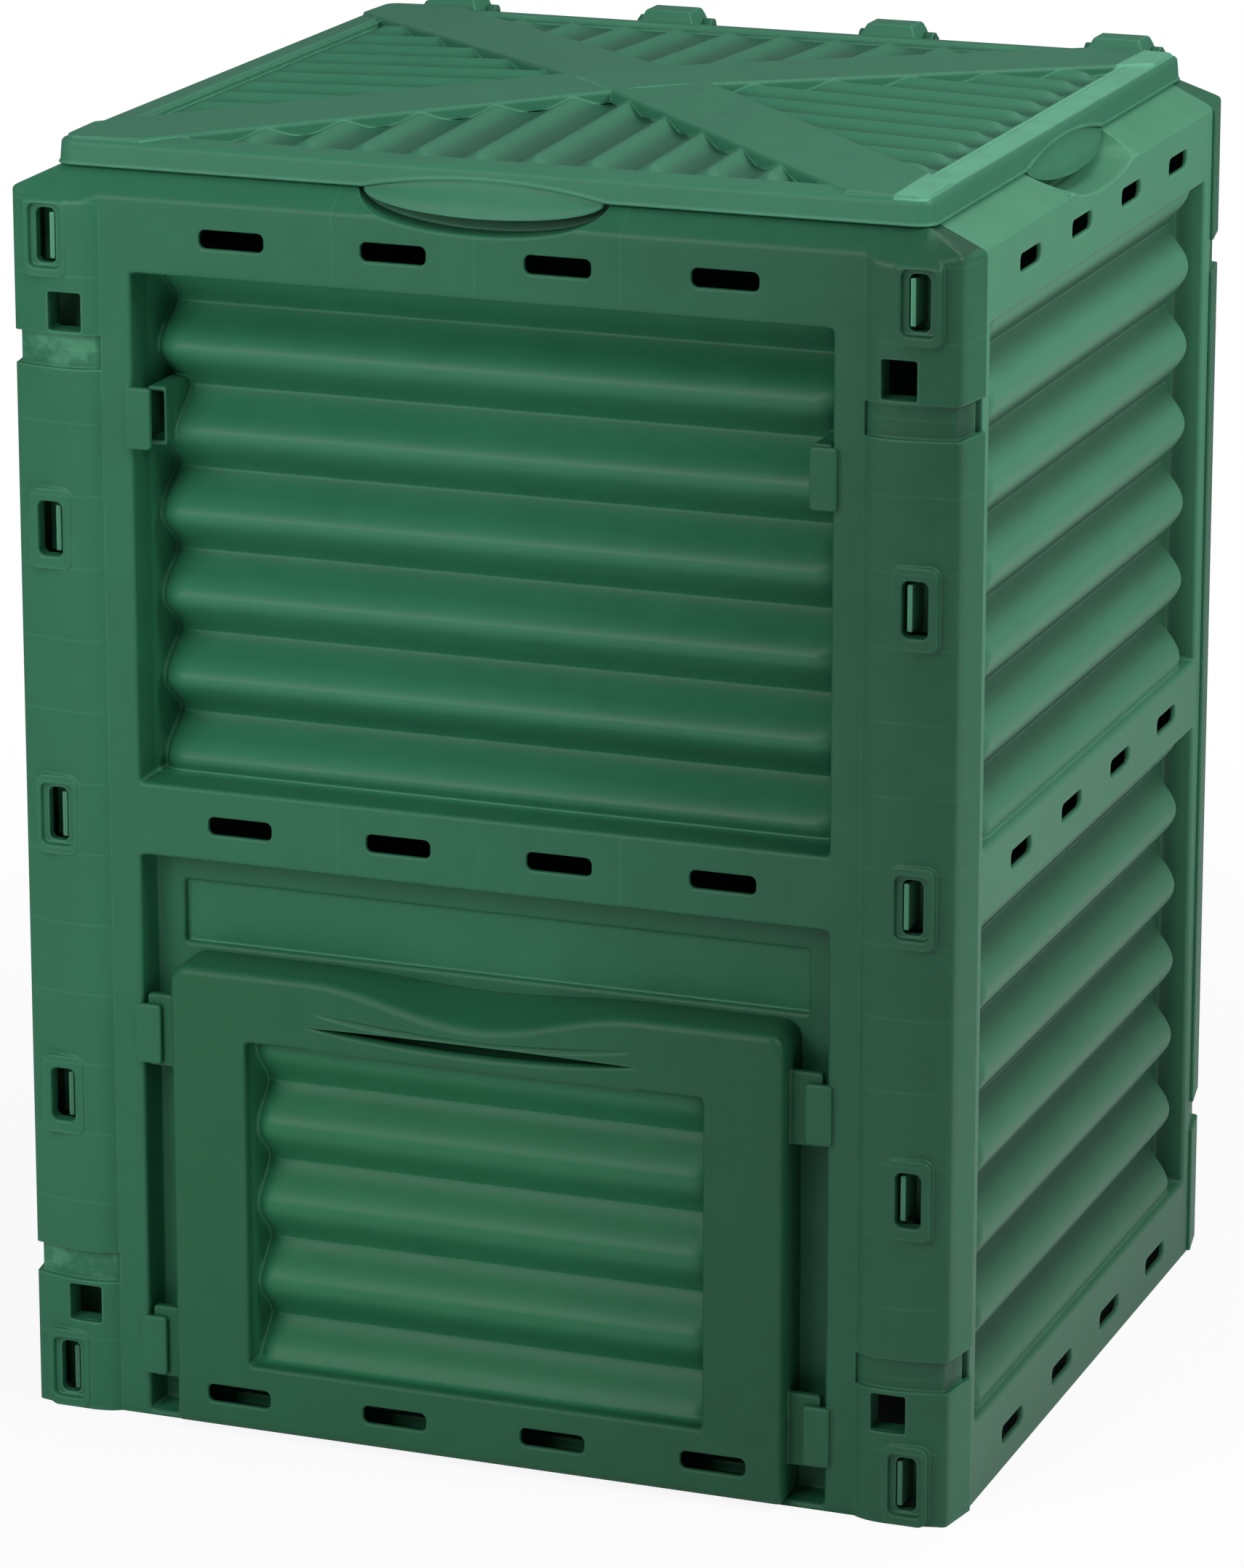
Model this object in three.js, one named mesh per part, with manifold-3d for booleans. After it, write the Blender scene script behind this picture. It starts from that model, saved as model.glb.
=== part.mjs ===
import * as THREE from 'three';
import { mergeVertices } from 'three/addons/utils/BufferGeometryUtils.js';
import Module from 'manifold-3d';

const wasm = await Module();
wasm.setup();

// A garden compost bin of four clipped walls, a hinged lid and a lift-up hatch.
// Millimetres, standing on z = 0, hatch towards -Y, centred on x = 0 and y = 0.

// Overall sizes
const binWidth = 610;
const railSpan = 546;
const railTop = 775;
const wall = 3.5;

// Fits and making
const seamGap = 0.3;
const slideGap = 0.5;
const overrun = 2;
const weld = 0.001;
const cornerSteps = 1;
const curveSteps = 4;

// Corner posts, part of the front and back walls, and the face that they leave between them
const postWidth = 73;
const stripWidth = 10;
const creaseWidth = 7;
const bulgeReach = 7.7;
const creaseDrop = 14;
const flangeDraft = 1;
const sideInset = 2;
const seamDepth = 33;
const postSlotInset = 29.4;
const postSlotTopDrop = 26;
const postSlotLow = 25.8;
const postSlotCount = 5;
const postSlotWidth = 16;
const postSlotHeight = 34;
const deepSlotWidth = 13;
const bezelWidth = 21;
const bezelHeight = 39;
const bezelDepth = 4;
const bossWidth = 27;
const bossHeight = 51;
const bossProud = 6.8;
const bossRadius = 6;
const squareInset = 41;
const squareWidth = 22;
const squareHeight = 24;
const squareTopDrop = 72;
const squareLow = 70;
const squareCollar = 12;
const bandHeight = 21;
const bandTopDrop = 86;
const bandLow = 84.5;
const bandDepth = 3;
const bandNotch = 7;

// Windows of the walls, with one comb of waves for them all
const windowMargin = 9.5;
const sideWindowMargin = 13;
const lowerWindowHigh = 366;
const sideLowerWindowLow = 52;
const midRail = 46;
const topRail = 46;
const combAbove = 0.5;
const wavePitch = 51.6;
const waveSteps = 4;
const frontCrest = 26;
const frontTrough = 50;
const sideCrest = 4;
const sideTrough = 20;
const waveFlat = 8;
const waveRound = 16;
const roundShares = [0.4, 1];

// Ventilation slots in the rails
const slotLength = 42;
const slotHeight = 11.5;
const slotRadius = 4;
const slotCount = 4;
const slotMargin = 22;
const topSlotDrop = 22;
const lowSlotLevel = 21;
const sideSlotShift = 6;

// Lugs of the side walls, which reach through the post slots
const lugInset = 35;
const lugThick = 3;
const lugHeight = 28;
const lugTip = 2.5;

// Sloped shoulder, ledge and lip that carry the lid
const ledgeGap = 0.7;
const ledgeInset = 3.3;
const lipInset = 12;

// Hatch, its window, its handle and what holds it
const hatchMargin = 23.5;
const hatchLift = 64;
const hatchProud = 14;
const hatchCorner = 11;
const hatchFrame = 50;
const hatchWindowLow = 47;
const hatchWindowDrop = 44.5;
const hatchCombDrop = 7;
const hatchPitch = 50.8;
const hatchCrest = 12;
const hatchTrough = 30;
const hatchSlotLevel = 26;
const dipHalf = 108;
const dipDepth = 18;
const gripHalf = 106;
const gripDrop = 29.5;
const gripThick = 6.5;
const tabClear = 3;
const tabHeight = 46;
const tabThick = 5;
const tabAbove = 6;
const stripDepth = 22;
const doorwaySide = 19;
const doorwayLow = 14;
const doorwayDrop = 34;
const panelRecessMargin = 4;
const panelRecessDrop = 20;
const panelRecessDepth = 3;

// Clips on the front wall, two pairs for the hatch and one spare pair above
const clipWidth = 17;
const clipHeight = 38;
const clipThick = 3.5;
const clipHold = 4;
const spareClipDrop = 88.5;
const highClipDrop = 50;
const lowClipLevel = 47.8;
const clipHoleWidth = 8;
const clipHoleHeight = 32;

// Lid
const lidSideInset = 27;
const lidFrontInset = 13;
const lidAbove = 14.5;
const skirtHeight = 16.5;
const crownRise = 10.5;
const lidDraft = 1.8;
const lidChamfer = 3;
const lidCorner = 12;
const rimWidth = 26;
const bandWidth = 68;
const bandDrop = 8;
const fieldDrop = 3;
const fieldUnderCrown = 5.5;
const ripplePitch = 36.5;
const rippleHeight = 5;
const rippleSteps = 4;
const tongueHalf = 76;
const tongueDrop = 13.5;
const archRise = 7.5;
const tongueProud = 9;
const notchHalf = 80;
const notchDrop = 22;
const notchBehind = 7;
const bowShare = 0.6;
const dipShare = 0.5;
const archShare = 1.2;
const tongueRootShare = 1.5;
const tipShare = 1 / 3;

// Lid hinge: lid knuckles between ears of the back wall, each on its own pin
const hingeEndMargin = 47;
const hingeBack = 8;
const hingeRise = 9;
const earRadius = 6;
const earThick = 6;
const knuckleWidth = 38;
const knuckleRise = 5;
const knuckleChamfer = 4;
const pinRadius = 2.5;
const pinFit = 0.1;
const pinSides = 12;

// Places in plan that follow from the sizes above
const postSide = binWidth / 2;
const sideFace = postSide - sideInset;
const railFace = railSpan / 2;
const seamSpan = railSpan - seamDepth * 2;
const stripInner = postSide - postWidth;
const stripOuter = stripInner + stripWidth;
const bulgeEnd = postSide - creaseWidth;
const postSlotX = postSide - postSlotInset;
const squareX = postSide - squareInset;
const lugX = postSide - lugInset;
const windowWidth = (stripInner - windowMargin) * 2;
const sideWindowWidth = seamSpan - sideWindowMargin * 2;
const hatchWidth = windowWidth - hatchMargin * 2;
const hatchWindowWidth = hatchWidth - hatchFrame * 2;
const slotPitch = (hatchWidth - slotMargin * 2 - slotLength) / (slotCount - 1);
const tabReach = windowWidth / 2 - tabClear;
const doorwayWidth = hatchWidth - doorwaySide * 2;
const panelRecessWidth = hatchWidth + panelRecessMargin * 2;
const lidX = postSide - lidSideInset;
const lidY = railFace - lidFrontInset;
const ledgeX = lidX - ledgeInset;
const ledgeY = lidY - ledgeInset;
const lipX = lidX - lipInset;
const lipY = lidY - lipInset;
const hingeY = railFace + hingeBack;
const hingeEnd = lidX - hingeEndMargin;
const hingeSpots = [-hingeEnd, -hingeEnd / 3, hingeEnd / 3, hingeEnd];

// Levels that follow from the sizes above
const postSlotTop = railTop - postSlotTopDrop;
const postSlotPitch = (postSlotTop - postSlotLow) / (postSlotCount - 1);
const squareLevels = [railTop - squareTopDrop, squareLow];
const bandLevels = [railTop - bandTopDrop - bandHeight, bandLow].map((low) => [low, low + bandHeight]);
const upperWindowHigh = railTop - topRail;
const upperWindowLow = lowerWindowHigh + midRail;
const combTop = upperWindowHigh + combAbove;
const topSlotLevel = railTop - topSlotDrop;
const midSlotLevel = lowerWindowHigh + midRail / 2;
const hatchHigh = lowerWindowHigh - hatchLift;
const hatchLow = wall + seamGap;
const hatchWindowHigh = hatchHigh - hatchWindowDrop;
const hatchCombTop = hatchWindowHigh - hatchCombDrop;
const gripTop = hatchHigh - gripDrop;
const doorwayHigh = hatchHigh - doorwayDrop;
const panelRecessLow = hatchHigh + panelRecessMargin;
const panelRecessHigh = lowerWindowHigh - panelRecessDrop;
const clipLevels = [upperWindowHigh - spareClipDrop, hatchHigh - highClipDrop, lowClipLevel];
const lidLow = railTop + lidAbove;
const lidHigh = lidLow + skirtHeight;
const crownHeight = lidHigh + crownRise;
const fieldEdge = lidHigh - fieldDrop;
const fieldCrown = crownHeight - fieldUnderCrown;
const tongueLow = lidLow - tongueDrop;
const archHigh = lidLow + archRise;
const notchLow = lidLow - notchDrop;
const knuckleHigh = lidHigh + knuckleRise;
const hingeLevel = lidLow + hingeRise;
const ledgeLevel = lidLow - ledgeGap;
const lipTop = lidHigh - wall - seamGap;
const frontSlope = (ledgeLevel - railTop) / (railFace - ledgeY);
const sideSlope = (ledgeLevel - railTop) / (sideFace - ledgeX);
const shoulderFoot = railTop - lidSideInset * 2 * sideSlope;

const green = { roughness: 0.62, metalness: 0 };
const materials = {
  front: new THREE.MeshStandardMaterial({ color: 0x2e6248, ...green }),
  back: new THREE.MeshStandardMaterial({ color: 0x2e6248, ...green }),
  side: new THREE.MeshStandardMaterial({ color: 0x3c7358, ...green }),
  lid: new THREE.MeshStandardMaterial({ color: 0x447d62, ...green }),
  hatch: new THREE.MeshStandardMaterial({ color: 0x2b5d44, ...green }),
  pin: new THREE.MeshStandardMaterial({ color: 0x24503a, ...green }),
};

// Solids from geometry, and back
function toSolid(geometry) {
  const bare = geometry.clone();
  bare.deleteAttribute('normal');
  bare.deleteAttribute('uv');
  const merged = mergeVertices(bare, weld);
  return new wasm.Manifold(new wasm.Mesh({
    numProp: 3,
    vertProperties: new Float32Array(merged.attributes.position.array),
    triVerts: new Uint32Array(merged.index.array),
  }));
}

function toGeometry(solid) {
  const { vertProperties, triVerts } = solid.getMesh();
  const geometry = new THREE.BufferGeometry();
  geometry.setAttribute('position', new THREE.BufferAttribute(vertProperties, 3));
  geometry.setIndex(new THREE.BufferAttribute(triVerts, 1));
  return geometry;
}

function join(solids) {
  return solids.reduce((whole, solid) => whole.add(solid));
}

function cut(solid, tools) {
  return tools.reduce((whole, tool) => whole.subtract(tool), solid);
}

function moved(solid, matrix) {
  return toSolid(toGeometry(solid).applyMatrix4(matrix));
}

// A block given by its lowest and highest coordinate on each axis
function block(x0, x1, y0, y1, z0, z1) {
  const geometry = new THREE.BoxGeometry(x1 - x0, y1 - y0, z1 - z0);
  return toSolid(geometry.translate((x0 + x1) / 2, (y0 + y1) / 2, (z0 + z1) / 2));
}

// A plan outline raised along z
function raise(shape, z0, z1) {
  const options = { depth: z1 - z0, bevelEnabled: false, curveSegments: curveSteps };
  return toSolid(new THREE.ExtrudeGeometry(shape, options).translate(0, 0, z0));
}

// An outline drawn in x and z, carried inward along y
function carry(shape, y0, y1, steps = curveSteps) {
  const options = { depth: y1 - y0, bevelEnabled: false, curveSegments: steps };
  return toSolid(new THREE.ExtrudeGeometry(shape, options).rotateX(Math.PI / 2).translate(0, y1, 0));
}

// An outline drawn in y and z, carried across along x
function span(shape, x0, x1) {
  const options = { depth: x1 - x0, bevelEnabled: false, curveSegments: curveSteps };
  const turn = new THREE.Matrix4().makeBasis(
    new THREE.Vector3(0, 1, 0), new THREE.Vector3(0, 0, 1), new THREE.Vector3(1, 0, 0));
  return toSolid(new THREE.ExtrudeGeometry(shape, options).applyMatrix4(turn).translate(x0, 0, 0));
}

function roundedRect(x, z, width, height, radius) {
  const shape = new THREE.Shape();
  const [left, right] = [x - width / 2 + radius, x + width / 2 - radius];
  const [low, high] = [z - height / 2 + radius, z + height / 2 - radius];
  shape.absarc(right, low, radius, -Math.PI / 2, 0, false);
  shape.absarc(right, high, radius, 0, Math.PI / 2, false);
  shape.absarc(left, high, radius, Math.PI / 2, Math.PI, false);
  shape.absarc(left, low, radius, Math.PI, Math.PI * 1.5, false);
  return shape;
}

// A pyramid stump: half sizes at its foot and at its head
function stump(footX, footY, z0, headX, headY, z1) {
  const geometry = new THREE.BoxGeometry(2, 2, z1 - z0);
  const place = geometry.attributes.position;
  for (let i = 0; i < place.count; i += 1) {
    const head = place.getZ(i) > 0;
    place.setX(i, place.getX(i) * (head ? headX : footX));
    place.setY(i, place.getY(i) * (head ? headY : footY));
  }
  return toSolid(geometry.translate(0, 0, (z0 + z1) / 2));
}

// Heights of a wave sheet's rows: its two edges and every step of the comb between them
function waveRows(low, high, comb, pitch) {
  const step = pitch / waveSteps;
  const first = Math.ceil((comb - high) / step);
  const last = Math.floor((comb - low) / step);
  const between = Array.from({ length: last - first + 1 }, (_, i) => comb - (last - i) * step)
    .filter((z) => z > low + overrun && z < high - overrun);
  return [low, ...between, high];
}

// A sheet of waves across a window, crests and troughs level, with the crests' ends rounded down
// to a flat strip. u runs along the wall, z up, and the crest and trough depths lie along y.
function waveSheet({ left, right, low, high, crest, trough, comb, pitch }) {
  const stations = [left, left + waveFlat];
  roundShares.forEach((share) => stations.push(left + waveFlat + waveRound * share));
  const mirrored = stations.map((u) => left + right - u).reverse();
  const along = [...stations, ...mirrored];
  const levels = waveRows(low, high, comb, pitch);
  const [columns, rows] = [along.length - 1, levels.length - 1];
  const geometry = new THREE.BoxGeometry(1, 1, 1, columns, 1, rows);
  const place = geometry.attributes.position;
  for (let i = 0; i < place.count; i += 1) {
    const u = along[Math.round((place.getX(i) + 0.5) * columns)];
    const z = levels[Math.round((place.getZ(i) + 0.5) * rows)];
    const inner = Math.min(1, Math.max(0, (Math.min(u - left, right - u) - waveFlat) / waveRound));
    const rounded = Math.sqrt(1 - (1 - inner) ** 2);
    const swell = 0.5 + 0.5 * Math.cos((comb - z) / pitch * 2 * Math.PI);
    const face = trough - (trough - crest) * swell * rounded;
    place.setXYZ(i, u, place.getY(i) < 0 ? face : face + wall, z);
  }
  return toSolid(geometry);
}

// The frame round a window, from the rail face back to its waves, with the waves in it
function windowUnit({ left, right, low, high, crest, trough, comb, pitch, front = 0 }) {
  const back = trough + wall;
  const ring = block(left - wall, right + wall, front, back, low - wall, high + wall)
    .subtract(block(left, right, front - overrun, back + overrun, low, high));
  const seat = wall / 2;
  const sheet = waveSheet({
    left: left - seat, right: right + seat, low: low - seat, high: high + seat,
    crest, trough, comb, pitch,
  });
  return ring.add(sheet);
}

function slotRow(level, shift, depth) {
  return Array.from({ length: slotCount }, (_, i) => {
    const x = shift + (i - (slotCount - 1) / 2) * slotPitch;
    return carry(roundedRect(x, level, slotLength, slotHeight, slotRadius), -depth, depth, cornerSteps);
  });
}

// Plan outline of one corner post, pushed in by an inset: strip, bulge, crease and side flange
function postShape(start, inset, back) {
  const side = postSide - inset;
  const turn = side - flangeDraft;
  const end = Math.min(bulgeEnd, turn);
  const lead = (bulgeEnd - stripOuter) / 4;
  const fine = inset < wall;
  const bulge = new THREE.CubicBezierCurve(
    new THREE.Vector2(stripOuter, inset), new THREE.Vector2(stripOuter + lead, inset - bulgeReach),
    new THREE.Vector2(end - lead, inset - bulgeReach), new THREE.Vector2(end, inset));
  const crease = new THREE.QuadraticBezierCurve(
    new THREE.Vector2(end, inset), new THREE.Vector2(turn, inset),
    new THREE.Vector2(turn, creaseDrop + inset));
  return new THREE.Shape([
    new THREE.Vector2(start, inset),
    ...bulge.getPoints(fine ? curveSteps : 2), ...crease.getPoints(fine ? 2 : 1).slice(1),
    new THREE.Vector2(side, back), new THREE.Vector2(start, back),
  ]);
}

function postBoss(level) {
  const shape = roundedRect(postSlotX, level, bossWidth, bossHeight, bossRadius);
  return carry(shape, -bossProud, wall, cornerSteps);
}

function postSlot(level, deep) {
  const width = deep ? deepSlotWidth : postSlotWidth;
  const hole = carry(roundedRect(postSlotX, level, width, postSlotHeight, slotRadius),
    -bossProud - overrun, wall + overrun, cornerSteps);
  if (!deep) return hole;
  const bezel = carry(roundedRect(postSlotX, level, bezelWidth, bezelHeight, slotRadius),
    -bossProud - overrun, bezelDepth - bossProud, cornerSteps);
  return hole.add(bezel);
}

function squareHole(level, grow, y0, y1) {
  const [w, h] = [squareWidth / 2 + grow, squareHeight / 2 + grow];
  return block(squareX - w, squareX + w, y0, y1, level - h, level + h);
}

// One corner post on the right of a front or back wall, in that wall's own frame
function post() {
  const back = seamDepth - seamGap / 2;
  const shell = raise(postShape(stripInner, 0, back), 0, railTop + wall)
    .subtract(raise(postShape(stripInner - overrun, wall, back + overrun), -overrun, railTop + wall * 2));
  const levels = Array.from({ length: postSlotCount }, (_, i) => postSlotTop - i * postSlotPitch);
  const bands = bandLevels.map(([low, high]) =>
    raise(postShape(stripOuter, bandDepth, back), low - wall, high + wall)
      .subtract(raise(postShape(stripOuter - overrun, bandDepth + wall, back + overrun),
        low - wall - overrun, high + wall + overrun)));
  const collars = squareLevels.map((level) => squareHole(level, wall, wall / 2, squareCollar));
  const body = join([shell, ...levels.map(postBoss), ...bands, ...collars]);
  const recesses = bandLevels.map(([low, high]) =>
    raise(postShape(stripOuter, -overrun, back + overrun), low, high)
      .subtract(raise(postShape(stripOuter - overrun, bandDepth, back + overrun * 2),
        low - wall, high + wall)));
  const notches = bandLevels.map(([low, high]) =>
    block(postSide - bandDepth - wall * 2, postSide + overrun, back - bandNotch, back + overrun, low, high));
  return cut(body, [
    ...levels.map((level, i) => postSlot(level, i % 2 === 0)),
    ...squareLevels.map((level) => squareHole(level, 0, -overrun - bulgeReach, squareCollar + overrun)),
    ...recesses, ...notches,
  ]);
}

function mirrorX(solid) {
  const geometry = toGeometry(solid).scale(-1, 1, 1);
  const order = geometry.index.array;
  for (let i = 0; i < order.length; i += 3) [order[i], order[i + 1]] = [order[i + 1], order[i]];
  return toSolid(geometry);
}

// The shoulder, ledge and lip that run round all four walls under the lid, as one ring
function shoulderRing() {
  const floor = shoulderFoot;
  const roof = roofStump(0, floor);
  const shadow = roofStump(wall, floor - wall);
  const outline = join([
    block(-sideFace, sideFace, -seamSpan / 2, seamSpan / 2, floor, ledgeLevel),
    ...[1, -1].map((way) => frontOutline(way, floor, ledgeLevel)),
  ]);
  const inner = block(wall - lipX, lipX - wall, wall - lipY, lipY - wall, floor - overrun, lipTop + overrun);
  const lip = block(-lipX, lipX, -lipY, lipY, ledgeLevel - wall, lipTop);
  return roof.intersect(outline).subtract(shadow).add(lip).subtract(inner);
}

// The pyramid under the shoulder's planes, lowered by a drop
function roofStump(drop, floor) {
  const run = ledgeLevel - floor;
  return stump(ledgeX + run / sideSlope, ledgeY + run / frontSlope, floor - drop,
    ledgeX, ledgeY, ledgeLevel - drop);
}

// The whole plan of a front or back wall with its posts, in the bin's frame
function frontOutline(way, low, high) {
  const right = raise(postShape(0, 0, seamDepth), low, high);
  const both = right.add(mirrorX(right));
  return moved(both, way > 0 ? frontPlace : backPlace);
}

const frontPlace = new THREE.Matrix4().makeTranslation(0, -railFace, 0);
const backPlace = new THREE.Matrix4().makeRotationZ(Math.PI).setPosition(0, railFace, 0);
const rightPlace = new THREE.Matrix4().makeRotationZ(Math.PI / 2).setPosition(sideFace, 0, 0);
const leftPlace = new THREE.Matrix4().makeRotationZ(-Math.PI / 2).setPosition(-sideFace, 0, 0);
const ring = shoulderRing();

// A lens: its tips at a level, its upper and lower edges bowed to a high and a low
function lens(half, level, high, low) {
  const bow = (top) => top + (top - level) * tipShare;
  const shape = new THREE.Shape();
  shape.moveTo(-half, level);
  shape.bezierCurveTo(-half * bowShare, bow(low), half * bowShare, bow(low), half, level);
  if (high > level) {
    shape.bezierCurveTo(half * bowShare, bow(high), -half * bowShare, bow(high), -half, level);
  }
  return shape;
}

// Trims a wall to the shoulder's planes, then adds its length of the ring
function crowned(solid, place, zone) {
  const home = place.clone().invert();
  const below = block(-binWidth, binWidth, -binWidth, binWidth, -overrun, shoulderFoot);
  const trim = roofStump(0, shoulderFoot - overrun).add(below);
  return solid.intersect(moved(trim, home)).add(moved(ring.intersect(zone), home));
}

// The finger notch in a wall's shoulder, with its own floor and back
function notched(solid, place, depth) {
  const home = place.clone().invert();
  const grown = lens(notchHalf + wall, ledgeLevel + wall, 0, notchLow - wall);
  const shell = carry(grown, 0, depth + wall).intersect(moved(roofStump(0, shoulderFoot), home));
  const hollow = carry(lens(notchHalf, ledgeLevel + wall, 0, notchLow), -overrun * 2, depth);
  return solid.add(shell).subtract(hollow);
}

// The flat face of a wall with its windows open, in the wall's own frame
function facePlate(half, windows) {
  const plate = block(-half, half, 0, wall, 0, railTop + wall);
  return cut(plate, windows.map(({ left, right, low, high }) =>
    block(left, right, -overrun, wall + overrun, low, high)));
}

function clip(level, way) {
  const jamb = windowWidth / 2;
  const [low, high] = [level - clipHeight / 2, level + clipHeight / 2];
  const plate = block(jamb + clipHold - clipWidth, jamb + clipHold, -clipThick, 0, low, high);
  const root = block(jamb, jamb + clipHold, -clipThick, wall / 2, low, high);
  const whole = plate.add(root);
  return way > 0 ? whole : mirrorX(whole);
}

// The sunk field round the hatch, with its strip, its sill and the doorway
function hatchField() {
  const half = windowWidth / 2;
  const back = stripDepth + wall;
  const tray = block(-half - wall, half + wall, 0, back, 0, lowerWindowHigh + wall)
    .subtract(block(-half, half, -overrun, stripDepth, wall, lowerWindowHigh));
  const backing = block(-panelRecessWidth / 2 - wall, panelRecessWidth / 2 + wall, stripDepth + wall / 2,
    back + panelRecessDepth, panelRecessLow - wall, panelRecessHigh + wall);
  const recess = block(-panelRecessWidth / 2, panelRecessWidth / 2, stripDepth - overrun,
    stripDepth + panelRecessDepth, panelRecessLow, panelRecessHigh);
  const doorway = block(-doorwayWidth / 2, doorwayWidth / 2, stripDepth - overrun, back + overrun,
    doorwayLow, doorwayHigh);
  return cut(tray.add(backing), [recess, doorway]);
}

function frontWall() {
  const half = windowWidth / 2;
  const upper = {
    left: -half, right: half, low: upperWindowLow, high: upperWindowHigh,
    crest: frontCrest, trough: frontTrough, comb: combTop, pitch: wavePitch,
  };
  const lower = { left: -half, right: half, low: -overrun, high: lowerWindowHigh };
  const right = post();
  const clips = clipLevels.flatMap((level) => [clip(level, 1), clip(level, -1)]);
  const body = join([
    facePlate(stripOuter, [upper, lower]), right, mirrorX(right), windowUnit(upper), hatchField(), ...clips,
  ]);
  const eye = half + clipHold - clipWidth;
  const clipHoles = [1, -1].map((way) => block(
    Math.min(way * eye, way * (eye - clipHoleWidth)), Math.max(way * eye, way * (eye - clipHoleWidth)),
    wall, frontTrough + wall + overrun,
    clipLevels[0] - clipHoleHeight / 2, clipLevels[0] + clipHoleHeight / 2));
  const slots = [topSlotLevel, midSlotLevel].flatMap((level) => slotRow(level, 0, wall + overrun));
  const zone = block(-binWidth, binWidth, -binWidth, -seamSpan / 2 - seamGap / 2, 0, lidHigh);
  const whole = crowned(cut(body, [...slots, ...clipHoles]), frontPlace, zone);
  return notched(whole, frontPlace, railFace - lidY + notchBehind);
}

// One hinge ear of the back wall, in the bin's frame
function ear(x) {
  const shoulderY = railFace - hingeBack;
  const shape = new THREE.Shape();
  shape.moveTo(railFace - wall / 2, railTop - hingeBack * 2);
  shape.lineTo(hingeY + earRadius, hingeLevel);
  shape.absarc(hingeY, hingeLevel, earRadius, 0, Math.PI, false);
  shape.lineTo(shoulderY, railTop + hingeBack * frontSlope - wall / 2);
  return span(shape, x, x + earThick);
}

function bore(x0, x1, radius) {
  const rod = new THREE.CylinderGeometry(radius, radius, x1 - x0, pinSides).rotateZ(Math.PI / 2);
  return toSolid(rod.translate((x0 + x1) / 2, hingeY, hingeLevel));
}

function backWall() {
  const half = windowWidth / 2;
  const waves = { crest: frontCrest, trough: frontTrough, comb: combTop, pitch: wavePitch };
  const upper = { left: -half, right: half, low: upperWindowLow, high: upperWindowHigh, ...waves };
  const lower = { left: -half, right: half, low: sideLowerWindowLow, high: lowerWindowHigh, ...waves };
  const right = post();
  const body = join([
    facePlate(stripOuter, [upper, lower]), right, mirrorX(right), windowUnit(upper), windowUnit(lower),
  ]);
  const slots = [topSlotLevel, midSlotLevel, lowSlotLevel]
    .flatMap((level) => slotRow(level, 0, wall + overrun));
  const zone = block(-binWidth, binWidth, seamSpan / 2 + seamGap / 2, binWidth, 0, lidHigh);
  const home = backPlace.clone().invert();
  const reach = knuckleWidth / 2 + slideGap;
  const ears = hingeSpots.flatMap((x) => [ear(x + reach), ear(x - reach - earThick)]);
  const holes = hingeSpots.map((x) => bore(x - reach - earThick - overrun, x + reach + earThick + overrun,
    pinRadius + pinFit));
  const whole = crowned(cut(body, slots), backPlace, zone).add(moved(join(ears), home));
  return whole.subtract(moved(join(holes), home));
}

// A side wall in its own frame: its face, waves, end flanges and the lugs on them
function sideWall(place, shift) {
  const half = sideWindowWidth / 2;
  const end = seamSpan / 2 - seamGap / 2;
  const waves = { crest: sideCrest, trough: sideTrough, comb: combTop, pitch: wavePitch };
  const upper = { left: -half, right: half, low: upperWindowLow, high: upperWindowHigh, ...waves };
  const lower = { left: -half, right: half, low: sideLowerWindowLow, high: lowerWindowHigh, ...waves };
  const flangeBack = sideFace - lugX + wall;
  const lugSide = sideFace - lugX;
  const levels = Array.from({ length: postSlotCount }, (_, i) => postSlotTop - i * postSlotPitch);
  const lugs = levels.map((level) => block(end - wall / 2, railFace + lugTip, lugSide - lugThick, lugSide,
    level - lugHeight / 2, level + lugHeight / 2));
  const flange = block(end - wall, end, wall / 2, flangeBack, 0, railTop + wall);
  const right = join([flange, ...lugs]);
  const body = join([
    facePlate(end, [upper, lower]), right, mirrorX(right), windowUnit(upper), windowUnit(lower),
  ]);
  const slots = [topSlotLevel, midSlotLevel, lowSlotLevel]
    .flatMap((level) => slotRow(level, shift, wall + overrun));
  const side = Math.sign(place.elements[12]);
  const zone = block(Math.min(0, side * binWidth), Math.max(0, side * binWidth), -end, end, 0, lidHigh);
  return notched(crowned(cut(body, slots), place, zone), place, sideFace - lidX + notchBehind);
}

// Front outline of the hatch, pushed in by an inset, with the dip in its top edge
function hatchShape(inset) {
  const half = hatchWidth / 2 - inset;
  const [low, high] = [hatchLow + inset, hatchHigh - inset];
  const radius = hatchCorner - inset;
  const shape = new THREE.Shape();
  shape.moveTo(-half, low);
  shape.lineTo(half, low);
  shape.absarc(half - radius, high - radius, radius, 0, Math.PI / 2, false);
  shape.lineTo(dipHalf, high);
  shape.bezierCurveTo(dipHalf * dipShare, high, dipHalf * dipShare, high - dipDepth, 0, high - dipDepth);
  shape.bezierCurveTo(-dipHalf * dipShare, high - dipDepth, -dipHalf * dipShare, high, -dipHalf, high);
  shape.absarc(radius - half, high - radius, radius, Math.PI / 2, Math.PI, false);
  return shape;
}

// The finger slit under the dip: level above, bowed below
function crescent() {
  const bow = gripTop - gripThick - gripThick * tipShare;
  const shape = new THREE.Shape();
  shape.moveTo(-gripHalf, gripTop);
  shape.bezierCurveTo(-gripHalf * bowShare, bow, gripHalf * bowShare, bow, gripHalf, gripTop);
  return shape;
}

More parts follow.
